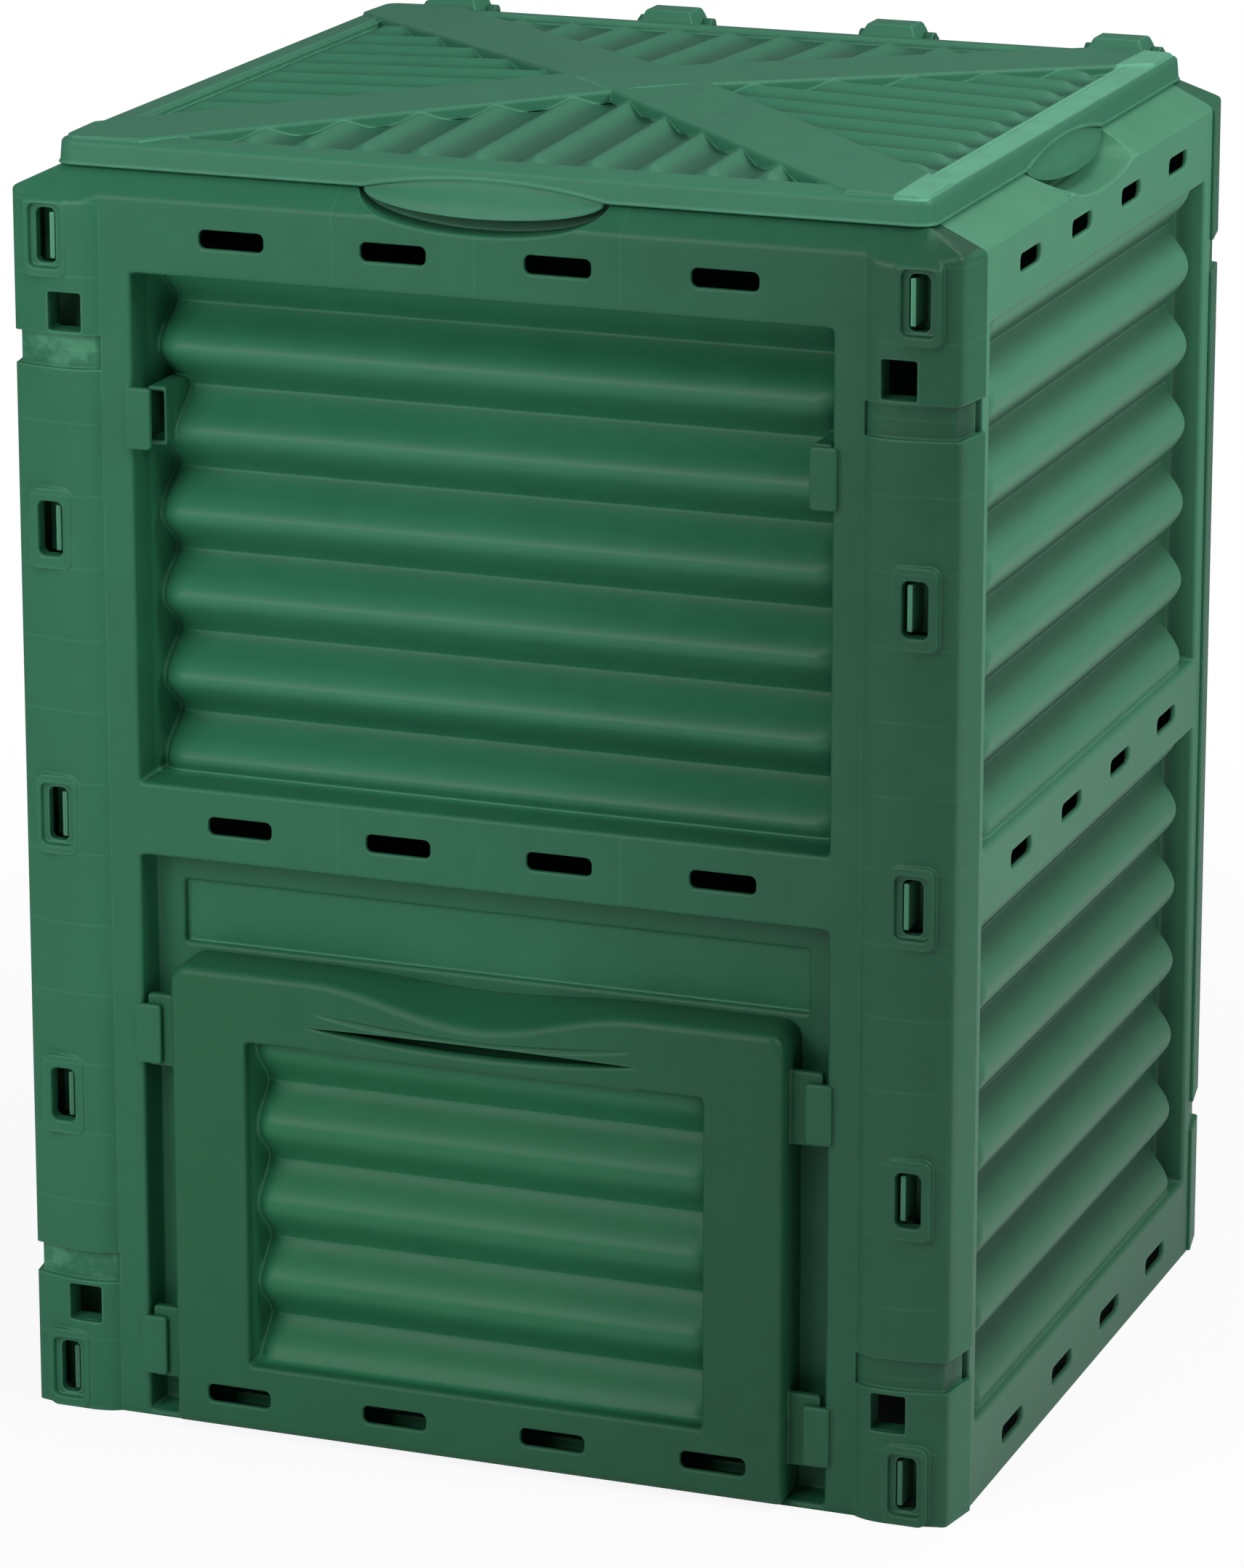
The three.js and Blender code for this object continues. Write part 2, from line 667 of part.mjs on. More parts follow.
function hatchPlate() {
  const front = -hatchProud;
  const back = stripDepth - slideGap;
  const half = hatchWindowWidth / 2;
  const opening = block(-half, half, front - overrun, back, hatchWindowLow, hatchWindowHigh);
  const shell = carry(hatchShape(0), front, back)
    .subtract(carry(hatchShape(wall), front + wall, back + overrun));
  const unit = windowUnit({
    left: -half, right: half, low: hatchWindowLow, high: hatchWindowHigh, front,
    crest: hatchCrest - hatchProud, trough: hatchTrough - hatchProud, comb: hatchCombTop, pitch: hatchPitch,
  });
  const slots = slotRow(hatchSlotLevel, 0, hatchProud + overrun);
  const grip = carry(crescent(), front - overrun, front + wall + overrun);
  const tabs = clipLevels.slice(1).map((level) => {
    const top = level + clipHeight / 2 + tabAbove;
    return block(hatchWidth / 2 - wall / 2, tabReach, slideGap, slideGap + tabThick, top - tabHeight, top);
  });
  const right = join(tabs);
  return cut(shell.subtract(opening).add(unit).add(right).add(mirrorX(right)), [...slots, grip]);
}

// A rounded plan outline raised with a draft
function loft(x0, y0, z0, x1, y1, z1, radius) {
  const options = { depth: z1 - z0, bevelEnabled: false, curveSegments: cornerSteps };
  const geometry = new THREE.ExtrudeGeometry(roundedRect(0, 0, x0 * 2, y0 * 2, radius), options);
  const place = geometry.attributes.position;
  for (let i = 0; i < place.count; i += 1) {
    const head = place.getZ(i) > 0;
    if (head) place.setXY(i, place.getX(i) * x1 / x0, place.getY(i) * y1 / y0);
  }
  return toSolid(geometry.translate(0, 0, z0));
}

// One rippled field of the lid, from the rim up to the centre, ridges running inward
function lidField(across, inward) {
  const seat = wall / 2;
  const columns = Math.round(across * 2 / ripplePitch * rippleSteps);
  const geometry = new THREE.BoxGeometry(1, 1, 1, columns, 1, 1);
  const place = geometry.attributes.position;
  const slope = (fieldCrown - fieldEdge) / inward;
  for (let i = 0; i < place.count; i += 1) {
    const x = place.getX(i) * 2 * (across + seat);
    const y = place.getY(i) < 0 ? -inward - seat : 0;
    const ripple = -Math.cos(x / ripplePitch * 2 * Math.PI) * rippleHeight / 2;
    const top = fieldEdge + (inward + y) * slope + ripple;
    place.setXYZ(i, x, y, place.getZ(i) > 0 ? top : top - wall);
  }
  const wedge = new THREE.Shape();
  const reach = 1 + seat / inward;
  wedge.moveTo(0, 0);
  wedge.lineTo(-across * reach, -inward * reach);
  wedge.lineTo(across * reach, -inward * reach);
  return toSolid(geometry).intersect(raise(wedge, lidLow, crownHeight + wall));
}

// One arm of the lid's crossed bands, from the centre out past a corner
function lidArm(half, drop, depth) {
  const length = Math.hypot(lidX, lidY);
  const geometry = new THREE.BoxGeometry(1, 1, 1);
  const place = geometry.attributes.position;
  for (let i = 0; i < place.count; i += 1) {
    const u = (place.getX(i) + 0.5) * length;
    const top = crownHeight - (crownHeight - lidHigh) * u / length - drop;
    place.setXYZ(i, u, place.getY(i) * 2 * half, place.getZ(i) > 0 ? top : top - depth);
  }
  return geometry;
}

function lidArms(half, drop, depth) {
  const tilt = Math.atan2(lidY, lidX);
  const turns = [tilt, Math.PI - tilt, Math.PI + tilt, -tilt];
  return join(turns.map((turn) => toSolid(lidArm(half, drop, depth).rotateZ(turn))));
}

// A finger tongue under an arch in the skirt, in the frame of a wall whose skirt lies at y = 0
function tongue() {
  const slab = new THREE.Shape();
  slab.moveTo(wall / 2, archHigh + wall);
  slab.lineTo(0, archHigh);
  slab.lineTo(-tongueProud, lidLow - wall);
  slab.lineTo(-tongueProud, tongueLow - wall);
  slab.lineTo(wall - tongueProud, tongueLow - wall);
  slab.lineTo(wall - tongueProud, lidLow - wall);
  slab.lineTo(wall * tongueRootShare, archHigh - wall);
  slab.lineTo(wall * tongueRootShare, archHigh + wall);
  const plan = carry(lens(tongueHalf, lidLow, archHigh + wall, tongueLow), -tongueProud * 2, wall * 2);
  return plan.intersect(span(slab, -tongueHalf, tongueHalf));
}

function knuckle(x) {
  const shape = new THREE.Shape();
  const skirt = lidY - wall / 2;
  shape.moveTo(skirt, lidLow + wall);
  shape.lineTo(hingeY - earRadius, hingeLevel - earRadius);
  shape.absarc(hingeY, hingeLevel, earRadius, -Math.PI / 2, 0, false);
  shape.lineTo(hingeY + earRadius, knuckleHigh - knuckleChamfer);
  shape.lineTo(hingeY + earRadius - knuckleChamfer, knuckleHigh);
  shape.lineTo(lidY + overrun, knuckleHigh);
  shape.lineTo(skirt, lidHigh - lidChamfer);
  const half = knuckleWidth / 2;
  const face = new THREE.Shape();
  face.moveTo(x - half, lidLow);
  face.lineTo(x + half, lidLow);
  face.lineTo(x + half, knuckleHigh - knuckleChamfer);
  face.lineTo(x + half - knuckleChamfer, knuckleHigh);
  face.lineTo(x - half + knuckleChamfer, knuckleHigh);
  face.lineTo(x - half, knuckleHigh - knuckleChamfer);
  const hull = span(shape, x - half, x + half)
    .intersect(carry(face, skirt - overrun, hingeY + earRadius + overrun));
  return hull.subtract(bore(x - half - overrun, x + half + overrun, pinRadius + pinFit));
}

function lidPlate() {
  const [brimX, brimY] = [lidX - lidDraft, lidY - lidDraft];
  const shoulder = lidHigh - lidChamfer;
  const outer = loft(lidX, lidY, lidLow, brimX, brimY, shoulder, lidCorner)
    .add(loft(brimX, brimY, shoulder, brimX - lidChamfer, brimY - lidChamfer, lidHigh, lidCorner));
  const inner = loft(lidX - wall, lidY - wall, lidLow - overrun, brimX - wall, brimY - wall, lidHigh - wall,
    lidCorner - wall);
  const [fieldX, fieldY] = [lidX - rimWidth, lidY - rimWidth];
  const window = block(-fieldX, fieldX, -fieldY, fieldY, lidLow, crownHeight + overrun);
  const curbFoot = fieldEdge - rippleHeight / 2 - wall - overrun / 2;
  const [kerbX, kerbY] = [fieldX + wall, fieldY + wall];
  const kerb = block(-kerbX, kerbX, -kerbY, kerbY, lidLow, crownHeight + wall);
  const curb = block(-kerbX, kerbX, -kerbY, kerbY, curbFoot, lidHigh).subtract(window);
  const frontField = lidField(fieldX, fieldY);
  const sideField = lidField(fieldY, fieldX);
  const turned = (solid, angle) => moved(solid, new THREE.Matrix4().makeRotationZ(angle));
  const fields = [
    frontField, turned(frontField, Math.PI), turned(sideField, Math.PI / 2), turned(sideField, -Math.PI / 2),
  ];
  const plan = loft(brimX - lidChamfer, brimY - lidChamfer, lidLow, brimX - lidChamfer, brimY - lidChamfer,
    crownHeight + overrun, lidCorner);
  const arms = lidArms(bandWidth / 2, 0, bandDrop).intersect(kerb)
    .add(lidArms(bandWidth / 2, 0, wall).intersect(plan));
  const channels = lidArms(bandWidth / 2 - wall, wall, crownHeight - lidLow).intersect(window);
  const skirt = outer.subtract(inner).subtract(window);
  const arch = carry(lens(tongueHalf - wall, lidLow, archHigh, lidLow - wall), -overrun, wall * archShare);
  const places = [
    new THREE.Matrix4().makeTranslation(0, -lidY, 0),
    new THREE.Matrix4().makeRotationZ(Math.PI / 2).setPosition(lidX, 0, 0),
    new THREE.Matrix4().makeRotationZ(-Math.PI / 2).setPosition(-lidX, 0, 0),
  ];
  const shell = cut(join([skirt, curb, ...fields, arms]), [channels, ...places.map((at) => moved(arch, at))]);
  return join([shell, ...places.map((at) => moved(tongue(), at)), ...hingeSpots.map(knuckle)]);
}

// A hinge pin with a low head at its outer end, as a turned profile
function pinGeometry() {
  const half = knuckleWidth / 2 + slideGap + earThick;
  const head = pinRadius + wall / 2;
  const outline = [
    [0, -half], [pinRadius, -half], [pinRadius, half + seamGap], [head, half + seamGap],
    [head, half + seamGap + wall / 2], [0, half + seamGap + wall / 2],
  ].map(([r, h]) => new THREE.Vector2(r, h));
  return toGeometry(toSolid(new THREE.LatheGeometry(outline, pinSides).rotateZ(-Math.PI / 2)));
}

function named(name, geometry, material) {
  const mesh = new THREE.Mesh(geometry, material);
  mesh.name = name;
  return mesh;
}

// Sets a solid that was made in the bin's frame into a group at its own place
function seated(name, solid, material, x, y, z) {
  const mesh = named(name, toGeometry(solid).translate(-x, -y, -z), material);
  mesh.position.set(x, y, z);
  return mesh;
}

const bin = new THREE.Group();

function addWall(name, solid, material, place) {
  const mesh = named(name, toGeometry(solid), material);
  mesh.applyMatrix4(place);
  bin.add(mesh);
}

addWall('front_wall', frontWall(), materials.front, frontPlace);
addWall('back_wall', backWall(), materials.back, backPlace);
addWall('right_wall', sideWall(rightPlace, sideSlotShift), materials.side, rightPlace);
addWall('left_wall', sideWall(leftPlace, -sideSlotShift), materials.side, leftPlace);
addWall('hatch', hatchPlate(), materials.hatch, frontPlace);
bin.add(seated('lid', lidPlate(), materials.lid, 0, hingeY, hingeLevel));
hingeSpots.forEach((x, i) => {
  const pin = named(`hinge_pin_${i + 1}`, pinGeometry(), materials.pin);
  pin.position.set(x, hingeY, hingeLevel);
  if (x < 0) pin.rotation.y = Math.PI;
  bin.add(pin);
});

export default bin;
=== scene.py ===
"""A garden compost bin: clipped walls with rolling waves, a hinged lid and a lift-up hatch.

Every length is in metres in the part's own frame: +Z up, the hatch towards -Y, the ground at z = 0.
Each wall is worked out flat first, as (u, d, z): u along the wall, d inwards from its face, z up.
"""

import math

import bmesh
import bpy
import numpy as np
from bpy.props import FloatProperty, FloatVectorProperty, PointerProperty
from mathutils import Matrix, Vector


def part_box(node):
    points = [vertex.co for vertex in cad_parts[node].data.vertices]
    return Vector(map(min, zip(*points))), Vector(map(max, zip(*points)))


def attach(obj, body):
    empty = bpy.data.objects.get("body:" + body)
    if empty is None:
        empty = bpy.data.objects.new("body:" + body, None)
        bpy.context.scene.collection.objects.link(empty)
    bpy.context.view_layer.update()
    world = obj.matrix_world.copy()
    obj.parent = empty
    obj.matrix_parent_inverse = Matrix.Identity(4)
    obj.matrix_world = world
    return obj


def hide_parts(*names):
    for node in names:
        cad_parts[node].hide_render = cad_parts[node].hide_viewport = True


bl_info = {
    "name": "Compost bin",
    "version": (1, 0, 0),
    "blender": (4, 5, 0),
    "location": "View3D > Sidebar > Compost bin",
    "description": "Builds the looks of a garden compost bin around its packed frame",
    "category": "Object",
}

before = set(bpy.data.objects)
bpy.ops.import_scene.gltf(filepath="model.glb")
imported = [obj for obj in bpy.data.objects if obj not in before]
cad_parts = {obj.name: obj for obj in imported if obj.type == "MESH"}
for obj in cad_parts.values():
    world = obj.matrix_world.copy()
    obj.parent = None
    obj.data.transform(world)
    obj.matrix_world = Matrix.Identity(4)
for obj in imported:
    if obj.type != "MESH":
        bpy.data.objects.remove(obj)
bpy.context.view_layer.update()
MM = 0.001
QUARTER = math.pi / 2

# Lines shared with the frame
HALF_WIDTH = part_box("front_wall")[1].x
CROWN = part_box("lid")[1].z
RAIL_FACE, RAIL_TOP = 273 * MM, 775 * MM
SIDE_FACE = HALF_WIDTH - 2 * MM
WALL = 3.5 * MM
SEAM, SIDE_END = 240.15 * MM, 239.85 * MM

# Meshes
SMOOTH_ANGLE = math.radians(38)
MERGE_DISTANCE = 0.002 * MM
CORNER_SHRINK = 0.6  # How much of a button's edge round comes off its corner radius
CUT_REACH = 8 * MM  # How far a hole's cutter stands out of the face

# Shoulder, ledge and lip under the lid
LEDGE_X, LEDGE_Y, LEDGE_LEVEL = 274.7 * MM, 256.7 * MM, 788.8 * MM
LIP_X, LIP_Y, LIP_TOP = 266 * MM, 248 * MM, 802.2 * MM
FRONT_SLOPE = (LEDGE_LEVEL - RAIL_TOP) / (RAIL_FACE - LEDGE_Y)
SIDE_SLOPE = (LEDGE_LEVEL - RAIL_TOP) / (SIDE_FACE - LEDGE_X)
SHOULDER_DROP = 2.4 * MM
SHOULDER_ROWS = ((0.012, 0.9 * MM), (0.05, 0.25 * MM), (0.12, 0), (1, 0))  # Share of the way in, and sag
ROOF_BAR_LOW, ROOF_BAR_REACH = 700 * MM, (30 * MM, 40 * MM)

# Finger notches in the shoulder
NOTCH_HALF, NOTCH_LOW, NOTCH_FULL = 80 * MM, 767.5 * MM, 0.42
NOTCH_ROOM, NOTCH_SPAN, NOTCH_ROUND, NOTCH_REACH = 7 * MM, 120 * MM, 1.6 * MM, 20 * MM

# Corner posts
STRIP_INNER, STRIP_OUTER = 232 * MM, 242 * MM
BULGE_END, BULGE_NEAR, BULGE_FAR = 294.5 * MM, 9.5 * MM, 3.8 * MM
CREASE_DROP, FLANGE_DRAFT, SEAM_TURN = 4.6 * MM, 5 * MM, 0.6 * MM
POST_SHARES = np.concatenate([[0.5, 1, 1.004], 1 + np.linspace(0, 1, 15)[1:], 2 + np.linspace(0, 1, 6)[1:],
                              3 + np.array([0.3, 0.6, 0.9, 0.97, 0.985, 1])])
BANDS = ((85 * MM, 105 * MM), (668 * MM, 689 * MM))
BAND_DEPTH, BAND_NOTCH, BAND_EDGE = 3 * MM, 7 * MM, 0.8 * MM
BAND_SHARES = np.array([0, 0.3125, 1])

# Slots of the posts, their frames, and the square holes
POST_SLOT_X, POST_SLOT_PITCH = 275.6 * MM, 180.8 * MM
POST_LEVELS = 749 * MM - POST_SLOT_PITCH * np.arange(5)
BOSS_SIZE, BOSS_PROUD, BOSS_RADIUS, BOSS_EDGE = (28 * MM, 51 * MM), 6.7 * MM, 6 * MM, 1.2 * MM
POST_SLOT_SIZE, POST_SLOT_RADIUS, POST_SLOT_LIP = (16 * MM, 34 * MM), 4 * MM, 1.4 * MM
DEEP_SLOT_SIZE, POST_SLOT_BACK, POST_SPAN = (13 * MM, 34 * MM), WALL + 3 * MM, (240 * MM, 320 * MM)
BEZEL_SIZE, BEZEL_DEPTH, BEZEL_LIP, BEZEL_INSET = (21 * MM, 39 * MM), 4 * MM, 1.2 * MM, 0.8 * MM
SQUARE_X, SQUARE_SIZE, SQUARE_LEVELS = 264 * MM, (22 * MM, 24 * MM), (703 * MM, 70 * MM)
SQUARE_DEPTH, SQUARE_PROUD, SQUARE_RADIUS, SQUARE_LIP = 12 * MM, 5.2 * MM, 1.5 * MM, 0.8 * MM

# Lugs of the side walls, and the stops beside them that close the posts' slots from inside
LUG_X, LUG_THICK, LUG_HEIGHT, LUG_REACH = 270 * MM, 3 * MM, 28 * MM, 275.5 * MM
STOP_SPAN, STOP_OUT, STOP_IN, STOP_HALF = (250 * MM, 253 * MM), 17 * MM, 13 * MM, 20 * MM

# Windows and their rolling waves
UPPER_WINDOW, LOWER_WINDOW, HATCH_FIELD = (412 * MM, 729 * MM), (52 * MM, 366 * MM), (3.5 * MM, 366 * MM)
WINDOW_HALF, SIDE_WINDOW_HALF = 222.5 * MM, 227 * MM
EDGE_ROUND, EDGE_FOOT, WINDOW_CORNER = 2.6 * MM, 3.5 * MM, 3 * MM
COMB_TOP, WAVE_PITCH, WAVE_FLAT, WAVE_ROUND, SIDE_FULLNESS = 729.5 * MM, 51.6 * MM, 8 * MM, 16 * MM, 0.62
FRONT_COMB = WINDOW_HALF - WAVE_FLAT / 2, COMB_TOP, WAVE_PITCH, 0.85, WAVE_ROUND, 9 * MM

# Rows and columns of the walls' grids
WAVE_ROWS, ROW_GAP = 14, 0.004 * MM
END_ROWS = np.array([0, 1.2, 30, 757, 764, 770]) * MM
MIDDLE_COLUMNS = np.array([12, 60, 110, 160]) * MM
RETURN_GAP, RETURN_DEPTHS = 0.8 * MM, (20 * MM, 9 * MM, 0.9 * MM)

# Ventilation slots
SLOT_SIZE, SLOT_RADIUS, SLOT_LIP = (42 * MM, 11.5 * MM), 4 * MM, 1.1 * MM
SLOT_COUNT, SLOT_PITCH, SIDE_SLOT_SHIFT = 4, 104 * MM, 6 * MM
SLOT_LEVELS = (753 * MM, 389 * MM, 21 * MM)

# The sunk field round the hatch, the clips that hold the hatch, and the blocks beside the upper clips
STRIP_DEPTH = 22 * MM
PANEL_HALF, PANEL_LOW, PANEL_HIGH = 203 * MM, 306 * MM, 346 * MM
PANEL_DEPTH, PANEL_RADIUS, PANEL_LIP = 5 * MM, 1.5 * MM, 2.2 * MM
DOORWAY_HALF, DOORWAY_LOW, DOORWAY_HIGH = 180 * MM, 14 * MM, 268 * MM
DOORWAY_RADIUS, DOORWAY_LIP = 3 * MM, 1 * MM
CLIP_LEVELS = (640.5 * MM, 252 * MM, 47.8 * MM)
CLIP_X, CLIP_SIZE, CLIP_THICK = 218 * MM, (17 * MM, 38 * MM), 3.5 * MM
CLIP_RADIUS, CLIP_EDGE, CLIP_ROOT_X, CLIP_ROOT_HALF = 2.4 * MM, 1.4 * MM, (223 * MM, 226 * MM), 18 * MM
EYE_SIZE, EYE_AT, EYE_DEPTH, EYE_BACK = (9.6 * MM, 31 * MM), (212 * MM, 639.6 * MM), 13 * MM, 58 * MM
EYE_BLOCK = (12.2 * MM, 36 * MM)

# Hatch, in the front wall's frame
HATCH_HALF, HATCH_LOW, HATCH_HIGH = 199 * MM, 3.8 * MM, 302 * MM
HATCH_PROUD, HATCH_BACK, HATCH_STEPS = 14 * MM, 21.5 * MM, (12 * MM, 4 * MM, -3 * MM)
HATCH_EDGE, HATCH_CORNER, HATCH_FOOT = 6 * MM, 11 * MM, 2.5 * MM
DIP_HALF, DIP_FRONT, DIP_BACK, SCOOP = 108 * MM, 18.5 * MM, 5 * MM, 0.7
HATCH_WINDOW_HALF, HATCH_WINDOW = 149 * MM, (47 * MM, 257.5 * MM)
HATCH_COMB_TOP, HATCH_PITCH = 250.5 * MM, 50.8 * MM
HATCH_COMB = HATCH_WINDOW_HALF, HATCH_COMB_TOP, HATCH_PITCH, 0.8, 12 * MM, 8 * MM
HATCH_COLUMNS = np.concatenate([np.array([30, 80, 120]) * MM,
                                np.linspace(132 * MM, HATCH_WINDOW_HALF - 4 * MM, 9)])
PLUG_MARGIN, PLUG_FRONT, PLUG_BACK = 3 * MM, 20 * MM, 12 * MM
HATCH_SLOT_LEVEL, HATCH_SLOT_DEPTH, HATCH_SLOT_LIP = 26 * MM, 6 * MM, 1.3 * MM
TAB_SIZE, TAB_X, TAB_RISE, TAB_BACK = (24 * MM, 46 * MM), 207.5 * MM, 2 * MM, 5.5 * MM
GRIP_HALF, GRIP_TOP, GRIP_RISE, GRIP_THICK = 106 * MM, 272 * MM, 0.4 * MM, 5.6 * MM
GRIP_LIP, GRIP_DEPTH, GRIP_AHEAD = 4.4 * MM, 9 * MM, 5 * MM
GROOVE_HALF, GROOVE_LEVEL, GROOVE_BOW, GROOVE_RADIUS = 104 * MM, 281.5 * MM, 7 * MM, 2.1 * MM

# Lid
LID_X, LID_Y, LID_LOW_EDGE, LID_TOP, LID_CORNER = 278 * MM, 260 * MM, 789.5 * MM, 806 * MM, 12 * MM
LID_SPAN = 780 * MM, 830 * MM  # Heights that hold the whole lid, for solids that are crossed with it
RIM_WIDTH, RIM_INNER_RADIUS, SKIRT_DRAFT = 26 * MM, 0.6 * MM, 0.16
BRIM_INSET, BRIM_RADIUS, KERB_OVERLAP = 5.6 * MM, 8 * MM, 3 * MM
BAND_WIDTH, BAND_DROP, ARM_ROUND, CHANNEL_ROUND, CHANNEL_DEPTH = 68 * MM, 8 * MM, 2.2 * MM, 1 * MM, 20 * MM
FIELD_EDGE, FIELD_CROWN, FIELD_FLAT, FIELD_FADE = 803 * MM, 811 * MM, 2 * MM, 13 * MM
FIELD_ROWS = -2, 0, 2, 4, 7, 10, 14, 20  # In mm, inwards from the curb
RIPPLE_PITCH, RIPPLE_STEPS, RIPPLE_POWER, RIPPLE_MIDDLE, RIPPLE_START = 36.5 * MM, 16, 1.45, 0.45, 0.15
ARCH_HIGH, ARCH_BACK, ARCH_EDGE, BEAD_RADIUS = 797 * MM, 4.4 * MM, 1.3 * MM, 1 * MM
TONGUE_HALF, TONGUE_TIP, TONGUE_LOW, TONGUE_PROUD = 76 * MM, 0.992, 777 * MM, 9 * MM
TONGUE_ROOT, TONGUE_THICK, TONGUE_ROLL, TONGUE_ROLL_START = 2.3 * MM, 2.1 * MM, 1.1 * MM, 0.86
TONGUE_ROWS = np.concatenate([np.linspace(0, 0.9, 13), [0.94, 0.97, 0.99, 1]])[:, None]
TONGUE_FLARE_END, TONGUE_FLARE_POWER = 1.06, 2.1

# Lid hinge
HINGE_SPOTS = (-231 * MM, -77 * MM, 77 * MM, 231 * MM)
HINGE_Y, HINGE_LEVEL, HINGE_RADIUS = 281 * MM, 798.5 * MM, 6 * MM
PIN_RADIUS, PIN_GAP = 2.5 * MM, 0.1 * MM
KNUCKLE_HALF, KNUCKLE_FOOT, KNUCKLE_WAIST, KNUCKLE_HIGH = 19 * MM, 786 * MM, 803 * MM, 811 * MM
KNUCKLE_DEPTHS = 250 * MM, 300 * MM
EAR_THICK, EAR_FOOT, EAR_RUN, EAR_REACH = 6 * MM, 16 * MM, 8 * MM, KNUCKLE_HALF + 0.5 * MM

# Painted shading, standing in for light from the left and from above: change of tone per metre on the left
# half, on the right half up to the post's cheek, and upwards
FRONT_PAINTED_SHADING, SIDE_PAINTED_SHADING = (-0.5, -1.35, 0.0), (0.0, 0.0, 0.9)
CHEEK = 0.2985, 0.3015

# Where each wall's waves lie, for the painted light on the front's and hatch's waves and the painted shade in
# the sides' troughs: axis across, half width, axis inwards, near, far, top
FRONT_SUNK, FRONT_WAVES_PAINTED_LIGHT = (0, 0.2235, 1, 0.2475, 0.2505, 0.732), 0.25
HATCH_SUNK, HATCH_WAVES_PAINTED_LIGHT = (0, 0.150, 1, 0.276, 0.280, 0.2575), 0.5
SIDE_SUNK, SIDE_TROUGHS_PAINTED_SHADE = (1, 0.227, 0, 0.285, 0.298, 0.732), -0.55
LID_SHADE = 0.38

# Noises: waves per metre, detail and roughness
CLOUDS, PATCHES, SPECKS = (5.0, 2.0), (38.0, 4.0, 0.6), (620.0, 2.0, 0.5)
WEAR, FINE_GRAIN, COARSE_GRAIN = (60.0, 4.0, 0.65), (780.0, 2.0, 0.6), (260.0, 3.0, 0.6)

# Strengths: tone of clouds and specks, roughness of patches and specks, how a colour pales (times, plus)
CLOUD_TONE, SPECK_TONE, PATCH_ROUGH, SPECK_ROUGH = 0.16, 0.1, 0.16, 0.06
PALER, BAND_PALE, BAND_PAINTED_SHADE, LINES_UP = (1.9, 0.045), 0.5, 0.06, 0.7
EDGE_TURN, WORN, VALLEY = (0.012, 0.12), (0.36, 0.62), (0.12, 0.4)
EDGE_WIDTH, BUMP_DEPTH = 2.4 * MM, 0.4 * MM

# Marks on the plastic, and the painted sheen on the lid's right rim: where each starts and ends, or its level
MOULD_LEVEL, MOULD_PITCH, MOULD_X = 725 * MM, POST_SLOT_PITCH / 4, (0.0, 0.091)
TOP_RAIL, MID_RAIL = (0.7315, 0.7325), (0.3685, 0.4095)
RIM_NEAR, RIM_FAR, RIM_UP = (0.2515, 0.2535), (0.2715, 0.2745), (0.8035, 0.8045)

# Stage
FLOOR_HALF, FLOOR_X, FLOOR_Y, FLOOR_WHITE = 12.0, (0.296, 0.30), (0.262, 0.266), (0.5, 1.6)
CAMERA_AT, CAMERA_TURN, CAMERA_SHIFT = (1.4265, -3.8104, 1.5477), (QUARTER - 0.2606, 0.0, 0.3606), -0.1


# Grids, loops and solids. A solid is a pair: its points as an array of rows, and its faces as lists.

def edge_steps(place, way):
    """Stations across a recess edge at a place: before it the quarter round, after it the foot."""
    before = -EDGE_ROUND * np.array([1.0, 0.72, 0.45, 0.2, 0.05])
    after = EDGE_FOOT * np.array([0.0, 0.02, 0.08, 0.25, 0.55, 1.0])
    return place + way * np.concatenate([before, after])


def grid_faces(rows, columns, wrap=False):
    """Quads of a grid numbered row by row; wrap joins the last column to the first."""
    row, column = np.meshgrid(np.arange(rows - 1), np.arange(columns if wrap else columns - 1), indexing="ij")
    right = (column + 1) % columns
    corners = [row * columns + column, row * columns + right, (row + 1) * columns + right,
               (row + 1) * columns + column]
    return np.stack(corners, -1).reshape(-1, 4)


def outward(points, quads, caps=()):
    """A solid with its faces turned outwards, by the sign of the volume of its fans of triangles."""
    fans = [np.column_stack([np.full(len(cap) - 2, cap[0]), cap[1:-1], cap[2:]]) for cap in caps]
    triangles = np.concatenate([quads[:, [0, 1, 2]], quads[:, [0, 2, 3]], *fans])
    a, b, c = (points[triangles[:, i]] for i in range(3))
    if np.einsum("ij,ij->", a, np.cross(b, c)) < 0:
        quads, caps = quads[:, ::-1], [cap[::-1] for cap in caps]
    return points, quads.tolist() + [list(cap) for cap in caps]


def shell(front, back):
    """A closed solid between two grids of the same shape, joined along their borders."""
    rows, columns = front.shape[:2]
    count = rows * columns
    number = np.arange(count).reshape(rows, columns)
    border = np.concatenate([number[0], number[1:, -1], number[-1, -2::-1], number[-2:0:-1, 0]])
    after = np.roll(border, -1)
    rim = np.stack([border, after, after + count, border + count], -1)[:, ::-1]
    quads = grid_faces(rows, columns)
    return outward(np.concatenate([front.reshape(-1, 3), back.reshape(-1, 3)]),
                   np.concatenate([quads, quads[:, ::-1] + count, rim]))


def stack(loops):
    """A closed solid from a pile of loops with the same number of points, capped at both ends."""
    loops = np.stack(loops)
    piles, points = loops.shape[:2]
    caps = [np.arange(points)[::-1], np.arange((piles - 1) * points, piles * points)]
    return outward(loops.reshape(-1, 3), grid_faces(piles, points, wrap=True), caps)


def together(*solids):
    """Several solids as one, with their faces renumbered."""
    points, faces, count = [], [], 0
    for solid_points, solid_faces in solids:
        points.append(solid_points)
        faces += [[number + count for number in face] for face in solid_faces]
        count += len(solid_points)
    return np.concatenate(points), faces


